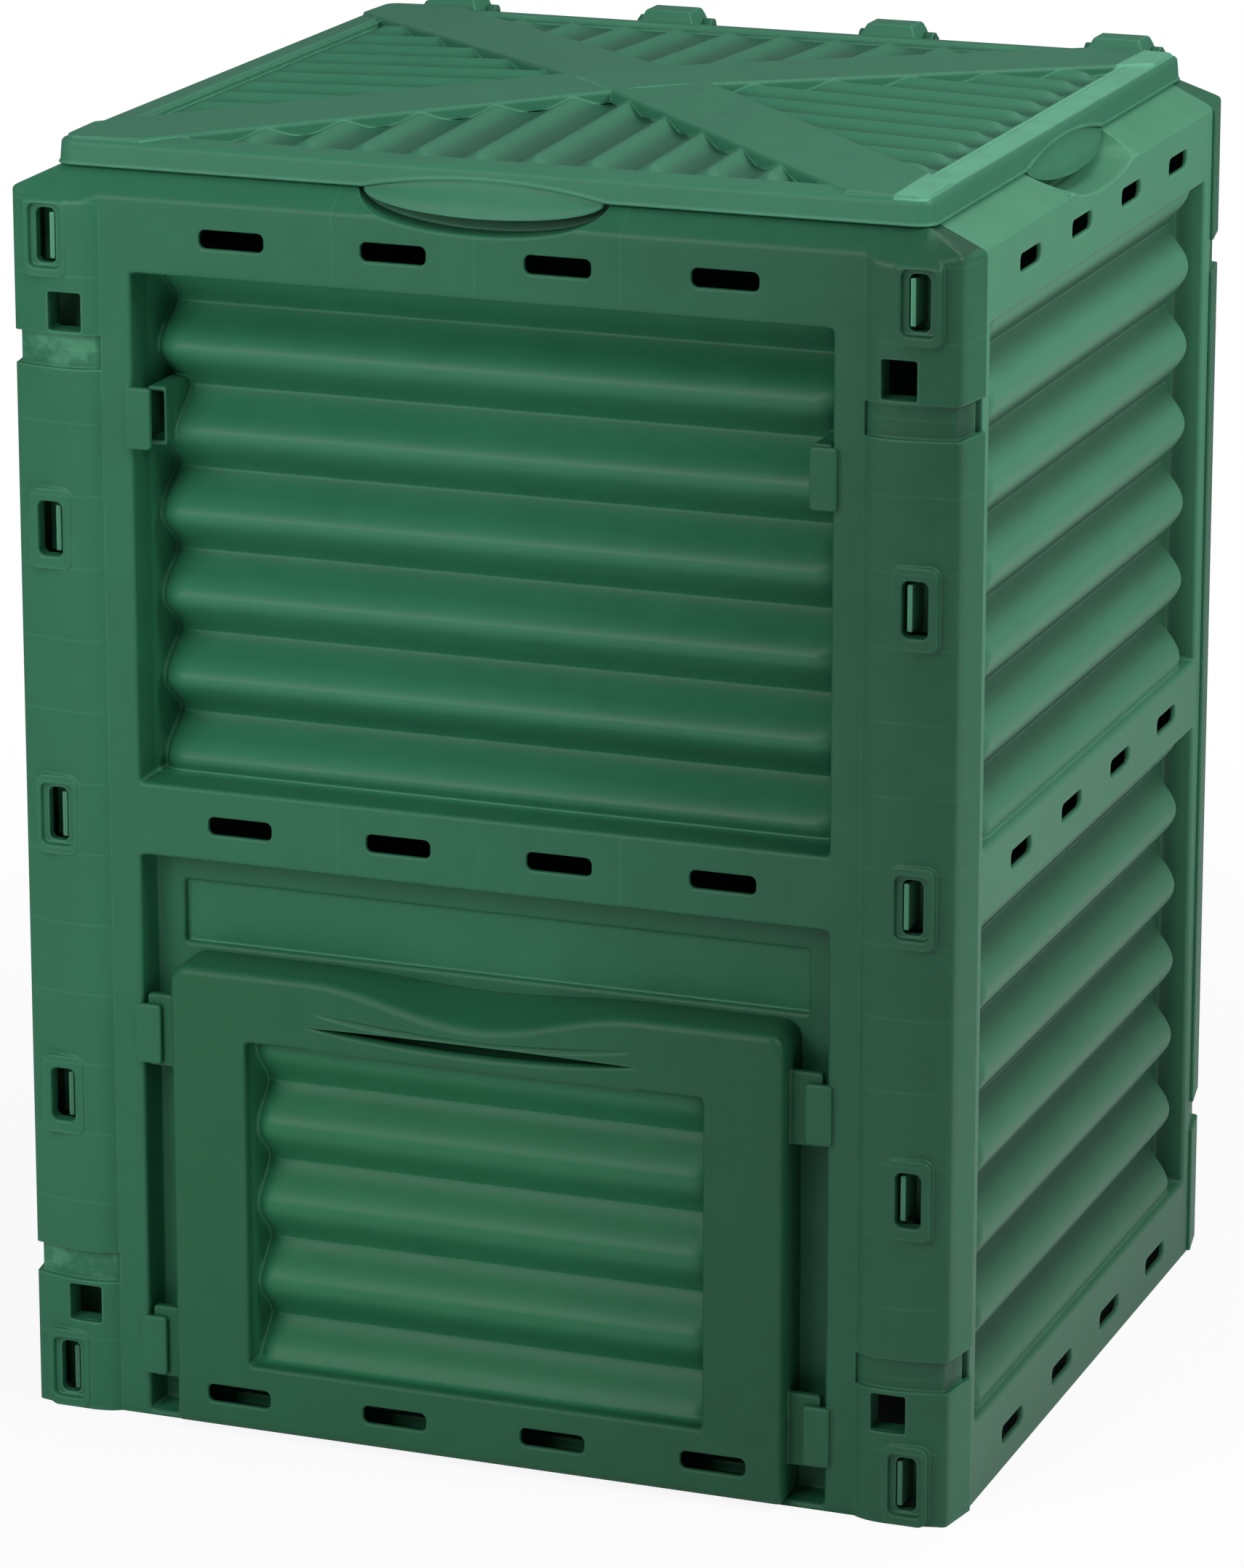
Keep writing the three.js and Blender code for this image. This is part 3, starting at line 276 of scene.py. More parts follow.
def upright(outline, z0, z1):
    """An outline in plan, carried from one height to another."""
    return stack([np.column_stack([outline, np.full(len(outline), z)]) for z in (z0, z1)])


def box(x0, x1, y0, y1, z0, z1):
    """A box from its lowest and highest coordinates."""
    return upright(np.array([[x0, y0], [x1, y0], [x1, y1], [x0, y1]]), z0, z1)


def bar(outline, u0, u1):
    """An outline in d and z, carried along u."""
    return stack([np.column_stack([np.full(len(outline), u), outline]) for u in (u0, u1)])


def tube(u, d, z, radius, steps):
    """A round bar through points (u, d, z), each ring standing across u with its own radius."""
    turn = np.linspace(0, 2 * math.pi, steps, endpoint=False)
    line = np.stack(np.broadcast_arrays(u, d, z), -1)[:, None]
    ring = np.stack([0 * turn, np.cos(turn), np.sin(turn)], -1)
    return stack(line + np.reshape(radius, (-1, 1, 1)) * ring)


def rounded(width, height, radius, steps=6):
    """A rounded rectangle's outline: four quarter circles of a radius about the inset corners."""
    turn = np.linspace(0, QUARTER, steps + 1)
    corners = [(1, -1, -90), (1, 1, 0), (-1, 1, 90), (-1, -1, 180)]
    arcs = [np.column_stack([
        side * (width / 2 - radius) + radius * np.cos(turn + math.radians(start)),
        end * (height / 2 - radius) + radius * np.sin(turn + math.radians(start)),
    ]) for side, end, start in corners]
    return np.concatenate(arcs)


def grown(size, radius, growth):
    """A rounded rectangle's outline, grown on all sides."""
    return rounded(size[0] + 2 * growth, size[1] + 2 * growth, radius + growth)


def rolled(radius, count):
    """Steps round a quarter circle, from a recess's side out to its face: (growth, depth) pairs."""
    turn = np.linspace(0, QUARTER, count)
    return list(zip(radius * (1 - np.cos(turn)), radius * (1 - np.sin(turn))))


def lay(outline, depth, at=(0, 0)):
    """An outline in u and z, moved to a place and set at a depth, as (u, d, z) rows."""
    return np.column_stack([outline[:, 0] + at[0], np.full(len(outline), depth), outline[:, 1] + at[1]])


def through(layers, at=(0, 0)):
    """A closed solid through outlines in u and z, given as (outline, depth) pairs."""
    return stack([lay(outline, depth, at) for outline, depth in layers])


def button(size, radius, at, base, face, edge):
    """A pad with a rounded front edge: full outlines up to the edge, then outlines that shrink as
    the edge's quarter circle turns to the face."""
    return through([(rounded(*size, radius), base)] + [
        (rounded(size[0] - 2 * s, size[1] - 2 * s, radius - s * CORNER_SHRINK), face + d)
        for s, d in rolled(edge, 6)], at)


def hole(size, radius, at, front, back, lip):
    """A cutter for a slot whose front lip is a quarter round: outlines grow as it nears the front."""
    return through([(rounded(*size, radius), back)] + [
        (grown(size, radius, g), front + d) for g, d in rolled(lip, 5) + [(lip, -CUT_REACH)]], at)


def mirrored(solid):
    """A solid turned over the plane u = 0, with its faces turned round to point outwards again."""
    points, faces = solid
    return points * np.array([-1, 1, 1]), [face[::-1] for face in faces]


def both_sides(solids):
    """Solids with their mirror images, as one."""
    return together(*solids, *[mirrored(one) for one in solids])


# Pieces

def raw_piece(name, solid):
    """A solid as a Blender object: doubles merged, and faces turned outwards by the sign of its volume."""
    mesh = bpy.data.meshes.new(name)
    mesh.from_pydata(solid[0], [], solid[1])
    work = bmesh.new()
    work.from_mesh(mesh)
    bmesh.ops.remove_doubles(work, verts=work.verts, dist=MERGE_DISTANCE)
    if work.calc_volume(signed=True) < 0:
        bmesh.ops.reverse_faces(work, faces=work.faces)
    work.to_mesh(mesh)
    work.free()
    piece = bpy.data.objects.new(name, mesh)
    bpy.context.scene.collection.objects.link(piece)
    return piece


def settle(piece):
    """Puts a piece's modifiers into its mesh."""
    graph = bpy.context.evaluated_depsgraph_get()
    made = bpy.data.meshes.new_from_object(piece.evaluated_get(graph))
    piece.modifiers.clear()
    piece.data = made


def combine(piece, solid, operation):
    """Joins, cuts or crosses a piece with a solid."""
    tool = raw_piece("tool", solid)
    modifier = piece.modifiers.new(operation, "BOOLEAN")
    modifier.operation = operation
    modifier.solver = "MANIFOLD"
    modifier.object = tool
    settle(piece)
    bpy.data.objects.remove(tool)
    if not piece.data.polygons:
        raise RuntimeError(f"{piece.name} is empty after {operation}")


def join(piece, place, *solids):
    """Adds solids to a piece, as one, at a place."""
    points, faces = together(*solids)
    combine(piece, (place(points), faces), "UNION")


def cut(piece, place, *solids):
    """Cuts solids out of a piece, as one, at a place."""
    points, faces = together(*solids)
    combine(piece, (place(points), faces), "DIFFERENCE")


def crossed(solid, other):
    """What two solids have in common, as a solid."""
    piece = raw_piece("crossed", solid)
    combine(piece, other, "INTERSECT")
    mesh = piece.data
    points = np.empty(len(mesh.vertices) * 3)
    mesh.vertices.foreach_get("co", points)
    faces = [list(face.vertices) for face in mesh.polygons]
    bpy.data.objects.remove(piece)
    return points.reshape(-1, 3), faces


def finish_piece(piece, material, body, node):
    """Smooth shading with sharp folds kept, flat faces leading, then the ride and stand-in."""
    mesh = piece.data
    mesh.shade_smooth()
    mesh.set_sharp_from_angle(angle=SMOOTH_ANGLE)
    weights = piece.modifiers.new("Even shading", "WEIGHTED_NORMAL")
    weights.keep_sharp = True
    settle(piece)
    piece.data.name = piece.name
    piece.data.materials.clear()
    piece.data.materials.append(material)
    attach(piece, body)
    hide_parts(node)


# Places of the walls and skirts

def faced(half, side):
    """The place of a wall or skirt whose face lies a half width from the middle, towards one side."""
    ways = {"front": lambda u, d: (u, d - half), "back": lambda u, d: (-u, half - d),
            "right": lambda u, d: (half - d, u), "left": lambda u, d: (d - half, -u)}
    return lambda points: np.stack([*ways[side](points[..., 0], points[..., 1]), points[..., 2]], -1)


def as_is(points):
    """The place of a solid that is in the bin's frame already."""
    return points


at_front, at_back = faced(RAIL_FACE, "front"), faced(RAIL_FACE, "back")
at_right, at_left = faced(SIDE_FACE, "right"), faced(SIDE_FACE, "left")
AT_SKIRTS = faced(LID_Y, "front"), faced(LID_X, "right"), faced(LID_X, "left")


# Formulas of the walls

def inside(u, z, half, low, high, corner):
    """How far a point lies inside a rounded window: the nearer edge, or the distance left to the
    corner's circle."""
    du = half - np.abs(u)
    dz = np.minimum(z - low, high - z)
    corner_zone = (du < corner) & (dz < corner)
    arc = corner - np.hypot(corner - du, corner - dz)
    return np.where(corner_zone, arc, np.minimum(du, dz))


def sink(distance, floor):
    """Depth of a recess at a distance inside its edge: a quarter circle down to the lip's radius,
    then a steep wall that rounds off to the floor as the cube root of one less a cube."""
    over = np.clip(distance + EDGE_ROUND, 0, EDGE_ROUND)
    quarter = EDGE_ROUND - np.sqrt(np.maximum(EDGE_ROUND ** 2 - over ** 2, 0))
    share = np.clip(distance / EDGE_FOOT, 0, 1)
    drop = (1 - (1 - share) ** 3) ** (1 / 3)
    return quarter + np.where(distance > 0, (floor - EDGE_ROUND) * drop, 0)


def swell(u_end, z, comb, pitch, fullness):
    """One at a crest, nought at a trough: a raised cosine of the distance from the crest's line in
    half pitches, with u_end (0 along the crest, 1 past its end) taken in as the other leg of a
    right triangle, so that a crest ends in a rounded nose. A fullness under one fattens it."""
    off = (comb - z) / pitch
    beside = 2 * np.abs(off - np.round(off))
    away = np.minimum(np.hypot(beside, u_end), 1)
    return (0.5 + 0.5 * np.cos(away * math.pi)) ** fullness


def sunk_waves(crest, trough, half, comb, pitch, fullness, run, drop):
    """The depth of waves at (u, z), as a function: their comb, and over its last run at both ends a
    drop along a quarter ellipse."""
    def depth(u, z):
        share = np.clip((half - np.abs(u)) / run, 0, 1)
        fall = drop * (1 - np.sqrt(1 - (1 - share) ** 2))
        return trough - (trough - crest) * swell(0 * u, z, comb, pitch, fullness) + fall
    return depth


def side_waves(crest, trough):
    """The depth of a side's waves at (u, z), as a function: crests that end in rounded noses short of
    a flat strip."""
    def depth(u, z):
        end = 1 - np.clip((SIDE_WINDOW_HALF - np.abs(u) - WAVE_FLAT) / WAVE_ROUND, 0, 1)
        return trough - (trough - crest) * swell(end, z, COMB_TOP, WAVE_PITCH, SIDE_FULLNESS)
    return depth


def wave_rows(low, high, comb, pitch):
    """Rows that follow the comb of waves between two heights."""
    step = pitch / WAVE_ROWS
    rows = comb - step * np.arange(int((comb - low) / step) + 1)
    return rows[(rows > low + 1.5 * EDGE_FOOT) & (rows < high - 1.5 * EDGE_FOOT)]


def post_line(share, inset):
    """Plan of a corner post by share: 0-1 along the strip, 1-2 over the bulge as a cubic curve,
    2-3 round the crease as a quadratic curve, 3-4 back along the flange to the seam, where the
    flange turns in a little."""
    side = HALF_WIDTH - inset
    turn = side - FLANGE_DRAFT
    end = np.minimum(BULGE_END, turn)
    lead = (BULGE_END - STRIP_OUTER) / 4
    t, q, f = (np.clip(share - leg, 0, 1) for leg in (1, 2, 3))
    bulge_u = ((1 - t) ** 3 * STRIP_OUTER + 3 * (1 - t) ** 2 * t * (STRIP_OUTER + lead)
               + 3 * (1 - t) * t ** 2 * (end - lead) + t ** 3 * end)
    bulge_d = inset - 3 * (1 - t) ** 2 * t * BULGE_NEAR - 3 * (1 - t) * t ** 2 * BULGE_FAR
    crease_u = (1 - q) ** 2 * end + 2 * q * (1 - q) * turn + q ** 2 * turn
    crease_d = inset + q ** 2 * CREASE_DROP
    flange_u = turn + (side - turn) * f - SEAM_TURN * np.clip((f - 0.97) / 0.03, 0, 1) ** 2
    flange_d = inset + CREASE_DROP + (RAIL_FACE - SEAM - inset - CREASE_DROP) * f
    strip_u = STRIP_INNER + (STRIP_OUTER - STRIP_INNER) * np.clip(share, 0, 1) + 0 * inset
    legs = [share <= 1, share <= 2, share <= 3]
    return (np.select(legs, [strip_u, bulge_u, crease_u], flange_u),
            np.select(legs, [inset + 0 * share, bulge_d, crease_d], flange_d))


def roof(x, y):
    """Height of the shoulder's planes over a point in plan: the lower of the front's and the side's."""
    front = RAIL_TOP + FRONT_SLOPE * (RAIL_FACE - np.abs(y))
    side = RAIL_TOP + SIDE_SLOPE * (SIDE_FACE - np.abs(x))
    return np.minimum(np.minimum(front, side), LEDGE_LEVEL)


def over_shoulder(world, inner):
    """Adds the rows over the shoulder to a wall's grid: the last row moves to the roof's line with
    a small round, then rows run to the ledge, to the lip's foot and up to its top."""
    plan = world[-1, :, :2]
    drop = WALL if inner else 0
    ledge_half, lip_half = np.array([LEDGE_X, LEDGE_Y]), np.array([LIP_X, LIP_Y]) - drop
    ledge = np.clip(plan, -ledge_half, ledge_half)
    foot = np.clip(plan, -lip_half, lip_half)
    top = roof(plan[:, 0], plan[:, 1]) - drop
    shelf = LEDGE_LEVEL - drop
    world = world.copy()
    world[-1, :, 2] = top - SHOULDER_DROP
    rows = [np.column_stack([plan + (ledge - plan) * share, top + (shelf - top) * share - sag])
            for share, sag in SHOULDER_ROWS]
    rows += [np.column_stack([foot, np.full(len(foot), z)]) for z in (shelf, LIP_TOP)]
    return np.concatenate([world, np.stack(rows)])


def face_depth(u, z, windows, grow):
    """Depth of a wall's face: its windows sunk in it, each grown by the wall for the inner side.
    A window is its half width, its two levels and the depth inside it."""
    depth = np.zeros(np.broadcast(u, z).shape)
    for half, low, high, floor in windows:
        distance = inside(u, z, half, low, high, WINDOW_CORNER) + grow
        depth = np.maximum(depth, sink(distance, floor(u, z)))
    return depth + grow


def wall_rows(windows, grow):
    """Heights of a wall's rows: window edges, the waves between them, band edges and the ends."""
    rows = [END_ROWS]
    for _, low, high, _ in windows:
        rows += [edge_steps(low - grow, 1), edge_steps(high + grow, -1),
                 wave_rows(low, high, COMB_TOP, WAVE_PITCH)]
    for low, high in BANDS:
        rows += [low + BAND_EDGE * BAND_SHARES, high - BAND_EDGE * BAND_SHARES]
    rows = np.sort(np.concatenate(rows))
    return np.maximum(rows, ROW_GAP * np.arange(len(rows)))


def band_inset(rows):
    """How far the posts step in at each row: all of the depth between a band's rounded edges."""
    inset = np.zeros(len(rows))
    for low, high in BANDS:
        share = np.clip(np.minimum(rows - low, high - rows) / BAND_EDGE, 0, 1)
        inset = np.maximum(inset, BAND_DEPTH * np.sqrt(share))
    return inset


def face_columns(half, reach, grow):
    """Columns of a wall's face: few in the middle, many over the waves' ends and window edges."""
    ends = np.linspace(half - WAVE_FLAT - WAVE_ROUND, half - 1.6 * EDGE_FOOT, 12)
    right = np.concatenate([MIDDLE_COLUMNS, ends, edge_steps(half + grow, -1), [reach]])
    return np.sort(np.concatenate([-right, right]))


def long_wall_grid(windows, place, inner):
    """One side of a front or back wall: its face between two corner posts, then the shoulder."""
    grow = WALL if inner else 0
    rows = wall_rows(windows, grow)
    face_u = face_columns(WINDOW_HALF, STRIP_INNER, grow)
    post_u, post_d = post_line(POST_SHARES, band_inset(rows)[:, None] * (POST_SHARES > 1) + grow)
    face_d = face_depth(face_u, rows[:, None], windows, grow)
    u = np.concatenate([-post_u[:, ::-1], np.tile(face_u, (len(rows), 1)), post_u], 1)
    d = np.concatenate([post_d[:, ::-1], face_d, post_d], 1)
    return over_shoulder(place(np.stack([u, d, rows[:, None] + 0 * u], -1)), inner)


def side_wall_grid(windows, place, inner):
    """One side of a side wall: its face between two inward returns, then the shoulder."""
    grow = WALL if inner else 0
    rows = wall_rows(windows, grow)
    face_u = face_columns(SIDE_WINDOW_HALF, SIDE_END - RETURN_GAP - grow, grow)
    return_d = np.array([SIDE_FACE - LUG_X + WALL, *RETURN_DEPTHS])
    return_d[-1] += grow
    end_u = np.full(len(return_d), SIDE_END - grow)
    ends = np.tile(return_d, (len(rows), 1))
    face_d = face_depth(face_u, rows[:, None], windows, grow)
    u = np.tile(np.concatenate([-end_u, face_u, end_u]), (len(rows), 1))
    d = np.concatenate([ends, face_d, ends[:, ::-1]], 1)
    return over_shoulder(place(np.stack([u, d, rows[:, None] + 0 * d], -1)), inner)


def skin(name, grid, windows, place):
    """A wall's piece between its outer and its inner grid."""
    return raw_piece(name, shell(grid(windows, place, False), grid(windows, place, True)))


# Walls

def slots_at(level, shift, front, back, lip):
    """Cutters for one row of ventilation slots, at a level."""
    places = shift + (np.arange(SLOT_COUNT) - (SLOT_COUNT - 1) / 2) * SLOT_PITCH
    return [hole(SLOT_SIZE, SLOT_RADIUS, (u, level), front, back, lip) for u in places]


def slot_rows(levels, shift=0):
    """Cutters for the rows of ventilation slots in a wall's face."""
    return [one for level in levels for one in slots_at(level, shift, 0, WALL + 2 * MM, SLOT_LIP)]


def stepped_hole(level):
    """A cutter for a deep post slot: a wide bezel with a rounded lip, then the narrow hole."""
    front, step = -BOSS_PROUD, BEZEL_DEPTH - BOSS_PROUD
    narrow = rounded(*DEEP_SLOT_SIZE, POST_SLOT_RADIUS)
    lip = rolled(BEZEL_LIP, 5) + [(BEZEL_LIP, -CUT_REACH)]
    bezel = [(grown(BEZEL_SIZE, POST_SLOT_RADIUS, g), d)
             for g, d in [(-BEZEL_INSET, step)] + [(g, front + d) for g, d in lip]]
    return through([(narrow, POST_SLOT_BACK), (narrow, step)] + bezel, (POST_SLOT_X, level))


def roof_bar(slope, u0, u1):
    """The volume under a wall's own shoulder plane, between two places along the wall."""
    run = (LEDGE_LEVEL - RAIL_TOP) / slope
    out, back = ROOF_BAR_REACH
    return bar(np.array([[-out, ROOF_BAR_LOW], [back, ROOF_BAR_LOW], [back, LEDGE_LEVEL], [run, LEDGE_LEVEL],
                         [-out, RAIL_TOP - out * slope]]), u0, u1)


def post_pads():
    """The raised frames of one post's slots and the collars behind its square holes."""
    pads = [button(BOSS_SIZE, BOSS_RADIUS, (POST_SLOT_X, z), WALL, -BOSS_PROUD, BOSS_EDGE)
            for z in POST_LEVELS]
    pads[0] = crossed(pads[0], roof_bar(FRONT_SLOPE, *POST_SPAN))
    size = (SQUARE_SIZE[0] + 2 * WALL, SQUARE_SIZE[1] + 2 * WALL)
    return pads + [button(size, WALL, (SQUARE_X, z), -1 * MM, SQUARE_DEPTH, -0.1 * MM) for z in SQUARE_LEVELS]


def post_cuts():
    """The slots, square holes and seam notches of one post."""
    plain = POST_SLOT_SIZE, POST_SLOT_RADIUS
    cuts = [hole(*plain, (POST_SLOT_X, z), -BOSS_PROUD, POST_SLOT_BACK, POST_SLOT_LIP) if i % 2
            else stepped_hole(z) for i, z in enumerate(POST_LEVELS)]
    cuts += [hole(SQUARE_SIZE, SQUARE_RADIUS, (SQUARE_X, z), -SQUARE_PROUD, SQUARE_DEPTH + 2 * MM, SQUARE_LIP)
             for z in SQUARE_LEVELS]
    near, far, seam = HALF_WIDTH - BAND_DEPTH - 2 * WALL, HALF_WIDTH + 2 * MM, RAIL_FACE - SEAM
    return cuts + [box(near, far, seam - BAND_NOTCH, seam + 2 * MM, low + 0.5 * MM, high - 0.5 * MM)
                   for low, high in BANDS]


def lens(half, level, high, low, full=1.0):
    """A lens in u and z: from the tips its edges bow to the low and the high, as one less the
    square of the share of the half width, raised to a power that makes it full."""
    u = -half * np.cos(np.linspace(0, math.pi, 25))
    bow = np.maximum(1 - (u / half) ** 2, 0) ** full
    lower = np.column_stack([u, level + (low - level) * bow])
    upper = np.column_stack([u, level + (high - level) * bow])[::-1]
    return np.concatenate([lower, upper[1:-1]])


def finger_notch(piece, place, slope, lid_face):
    """The notch in a wall's shoulder under a lid tongue: a pocket with its own floor and back."""
    depth = lid_face + NOTCH_ROOM
    level = LEDGE_LEVEL + WALL

    def edge(grow, rise):
        return lens(NOTCH_HALF + grow, level, level + rise, NOTCH_LOW - grow, full=NOTCH_FULL)

    around = edge(WALL + 1 * MM, 1 * MM)
    pocket = through([(around, 0.5 * MM), (around, depth + WALL)])
    join(piece, place, crossed(pocket, roof_bar(slope, -NOTCH_SPAN, NOTCH_SPAN)))
    steps = [(0, depth)] + rolled(NOTCH_ROUND, 5) + [(NOTCH_ROUND, -NOTCH_REACH)]
    cut(piece, place, through([(edge(g, 2 * MM + g), d) for g, d in steps]))


def make_front(settings):
    """The front wall: one wave window above, the sunk field of the hatch below, and its clips."""
    waves = sunk_waves(settings.front_crest, settings.front_trough, *FRONT_COMB)
    windows = [(WINDOW_HALF, *UPPER_WINDOW, waves),
               (WINDOW_HALF, *HATCH_FIELD, lambda u, z: STRIP_DEPTH + 0 * u * z)]
    piece = skin("front_wall_skin", long_wall_grid, windows, at_front)
    roots = [box(*CLIP_ROOT_X, -1 * MM, 2 * MM, z - CLIP_ROOT_HALF, z + CLIP_ROOT_HALF) for z in CLIP_LEVELS]
    plates = [button(CLIP_SIZE, CLIP_RADIUS, (CLIP_X, z), -0.05 * MM, -CLIP_THICK, CLIP_EDGE)
              for z in CLIP_LEVELS]
    backing = box(-PANEL_HALF - WALL, PANEL_HALF + WALL, STRIP_DEPTH + WALL / 2,
                  STRIP_DEPTH + WALL + PANEL_DEPTH, PANEL_LOW - WALL, PANEL_HIGH + WALL)
    join(piece, at_front, both_sides(post_pads() + roots), backing)
    socket = button(EYE_BLOCK, 2 * MM, EYE_AT, EYE_BACK, EYE_DEPTH, 1 * MM)
    join(piece, at_front, both_sides(plates + [socket]))
    recess = hole((2 * PANEL_HALF, PANEL_HIGH - PANEL_LOW), PANEL_RADIUS, (0, (PANEL_LOW + PANEL_HIGH) / 2),
                  STRIP_DEPTH, STRIP_DEPTH + PANEL_DEPTH, PANEL_LIP)
    doorway = hole((2 * DOORWAY_HALF, DOORWAY_HIGH - DOORWAY_LOW), DOORWAY_RADIUS,
                   (0, (DOORWAY_LOW + DOORWAY_HIGH) / 2), STRIP_DEPTH, STRIP_DEPTH + WALL + 3 * MM,
                   DOORWAY_LIP)
    eye = hole(EYE_SIZE, 1 * MM, EYE_AT, EYE_DEPTH, EYE_BACK + 6 * MM, 0.5 * MM)
    cut(piece, at_front, both_sides(post_cuts() + [eye]), recess, doorway, *slot_rows(SLOT_LEVELS[:2]))
    finger_notch(piece, at_front, FRONT_SLOPE, RAIL_FACE - LID_Y)
    return piece


def ear(x):
    """A hinge ear of the back wall, as a plate across x."""
    turn = np.linspace(0, math.pi, 13)
    outline = np.concatenate([
        [[RAIL_FACE - WALL / 2, RAIL_TOP - EAR_FOOT]],
        np.column_stack([HINGE_Y + HINGE_RADIUS * np.cos(turn), HINGE_LEVEL + HINGE_RADIUS * np.sin(turn)]),
        [[RAIL_FACE - EAR_RUN, RAIL_TOP + EAR_RUN * FRONT_SLOPE - WALL / 2]],
    ])
    return bar(outline, x, x + EAR_THICK)


def hinge_bores(far):
    """Cutters for the hinge pins, a reach to both sides of each hinge."""
    return [tube(np.array([x - far, x + far]), HINGE_Y, HINGE_LEVEL, PIN_RADIUS + PIN_GAP, 32)
            for x in HINGE_SPOTS]


def make_back(settings):
    """The back wall: two wave windows, three rows of slots and the hinge ears."""
    waves = sunk_waves(settings.front_crest, settings.front_trough, *FRONT_COMB)
    windows = [(WINDOW_HALF, *levels, waves) for levels in (UPPER_WINDOW, LOWER_WINDOW)]
    piece = skin("back_wall_skin", long_wall_grid, windows, at_back)
    join(piece, at_back, both_sides(post_pads()))
    cut(piece, at_back, both_sides(post_cuts()), *slot_rows(SLOT_LEVELS))
    join(piece, as_is, *[ear(x + way) for x in HINGE_SPOTS for way in (EAR_REACH, -EAR_REACH - EAR_THICK)])
    cut(piece, as_is, *hinge_bores(EAR_REACH + EAR_THICK + 2 * MM))
    return piece


def make_side(name, place, shift, settings):
    """A side wall: two wave windows, three rows of slots, the lugs, the stops that close the posts'
    slots from inside, and the finger notch."""
    waves = side_waves(settings.side_crest, settings.side_trough)
    windows = [(SIDE_WINDOW_HALF, *levels, waves) for levels in (UPPER_WINDOW, LOWER_WINDOW)]
    piece = skin(name, side_wall_grid, windows, place)
    depth = SIDE_FACE - LUG_X
    join(piece, place, both_sides([
        box(SIDE_END - WALL / 2, LUG_REACH, depth - LUG_THICK, depth, z - LUG_HEIGHT / 2, z + LUG_HEIGHT / 2)
        for z in POST_LEVELS]))
    join(piece, place, both_sides([
        box(*STOP_SPAN, depth - STOP_OUT, depth + STOP_IN, z - STOP_HALF, z + STOP_HALF)
        for z in POST_LEVELS]))
    cut(piece, place, *slot_rows(SLOT_LEVELS, shift))
    finger_notch(piece, place, SIDE_SLOPE, SIDE_FACE - LID_X)
    return piece


# Hatch

def hatch_outline(inset, dip):
    """The hatch's front outline pushed in by an inset: rounded corners, and a top edge that sinks to
    the middle by a dip along a raised cosine."""
    half, low, high = HATCH_HALF - inset, HATCH_LOW + inset, HATCH_HIGH - inset
    turn = np.linspace(0, QUARTER, 7)
    top, foot = HATCH_CORNER - inset * CORNER_SHRINK, HATCH_FOOT - inset * CORNER_SHRINK / 2
    right_foot = np.column_stack([half - foot + foot * np.sin(turn), low + foot - foot * np.cos(turn)])
    right_top = np.column_stack([half - top + top * np.cos(turn), high - top + top * np.sin(turn)])
    across = np.linspace(1, -1, 41)
    middle = np.column_stack([across * DIP_HALF, high - dip * (0.5 + 0.5 * np.cos(across * math.pi))])
    left = np.concatenate([right_foot, right_top])[::-1] * [-1, 1]
    return np.concatenate([right_foot, right_top, middle, left])


def hatch_block():
    """The hatch's block: its outline carried from the back to a front edge rounded along a quarter
    circle, with a shallower dip at the back, so that the top lip is scooped."""
    steps = [(0, d) for d in (HATCH_BACK, *HATCH_STEPS)]
    steps += [(g, d - HATCH_PROUD) for g, d in rolled(HATCH_EDGE, 9)]
    layers = []
    for shrink, d in steps:
        share = np.clip((HATCH_BACK - d) / (HATCH_BACK + HATCH_PROUD), 0, 1)
        layers.append((hatch_outline(shrink, DIP_BACK + (DIP_FRONT - DIP_BACK) * share ** SCOOP), d))
    return through(layers)


def hatch_plug(grow, close, waves):
    """The volume on one side of the hatch's wave sheet, from a plane in front or behind. Its
    surface is the sheet's relief, grown by the wall for the back."""
    low, high = HATCH_WINDOW
    half, far = HATCH_WINDOW_HALF, grow + PLUG_MARGIN
    right = np.concatenate([HATCH_COLUMNS, edge_steps(half + grow, -1), [half + far]])
    rows = np.concatenate([[low - far, high + far], edge_steps(low - grow, 1), edge_steps(high + grow, -1),
                           wave_rows(low, high, HATCH_COMB_TOP, HATCH_PITCH)])
    u, z = np.meshgrid(np.sort(np.concatenate([-right, right])), np.sort(rows))
    distance = inside(u, z, half, low, high, WINDOW_CORNER) + grow
    depth = sink(distance, waves(u, z)) + grow - HATCH_PROUD
    if not grow:
        depth = np.where(distance < -EDGE_ROUND, depth - 1 * MM, depth)
    return shell(np.stack([u, depth, z], -1), np.stack([u, np.full(u.shape, close), z], -1))


def hatch_slit():
    """The finger slit: level above and bowed below, its edges rounded by a quarter circle."""
    steps = [(0, GRIP_DEPTH)] + rolled(GRIP_LIP, 6) + [(GRIP_LIP, -GRIP_AHEAD)]
    return through([
        (lens(GRIP_HALF + g * 0.6, GRIP_TOP, GRIP_TOP + GRIP_RISE + g * 0.2, GRIP_TOP - GRIP_THICK - g),
         d - HATCH_PROUD) for g, d in steps])


def hatch_groove():
    """The crease above the slit: a round cutter along a bowed line, from the face's shoulders down
    towards the slit's middle, that thins out at its ends."""
    u = np.linspace(-GROOVE_HALF, GROOVE_HALF, 41)
    z = GROOVE_LEVEL - GROOVE_BOW * (1 - (u / GROOVE_HALF) ** 2)
    radius = GROOVE_RADIUS * np.sqrt(np.clip(1 - (u / (GROOVE_HALF + 1 * MM)) ** 6, 0.02, 1))
    return tube(u, -HATCH_PROUD - 0.5 * MM, z, radius, 12)


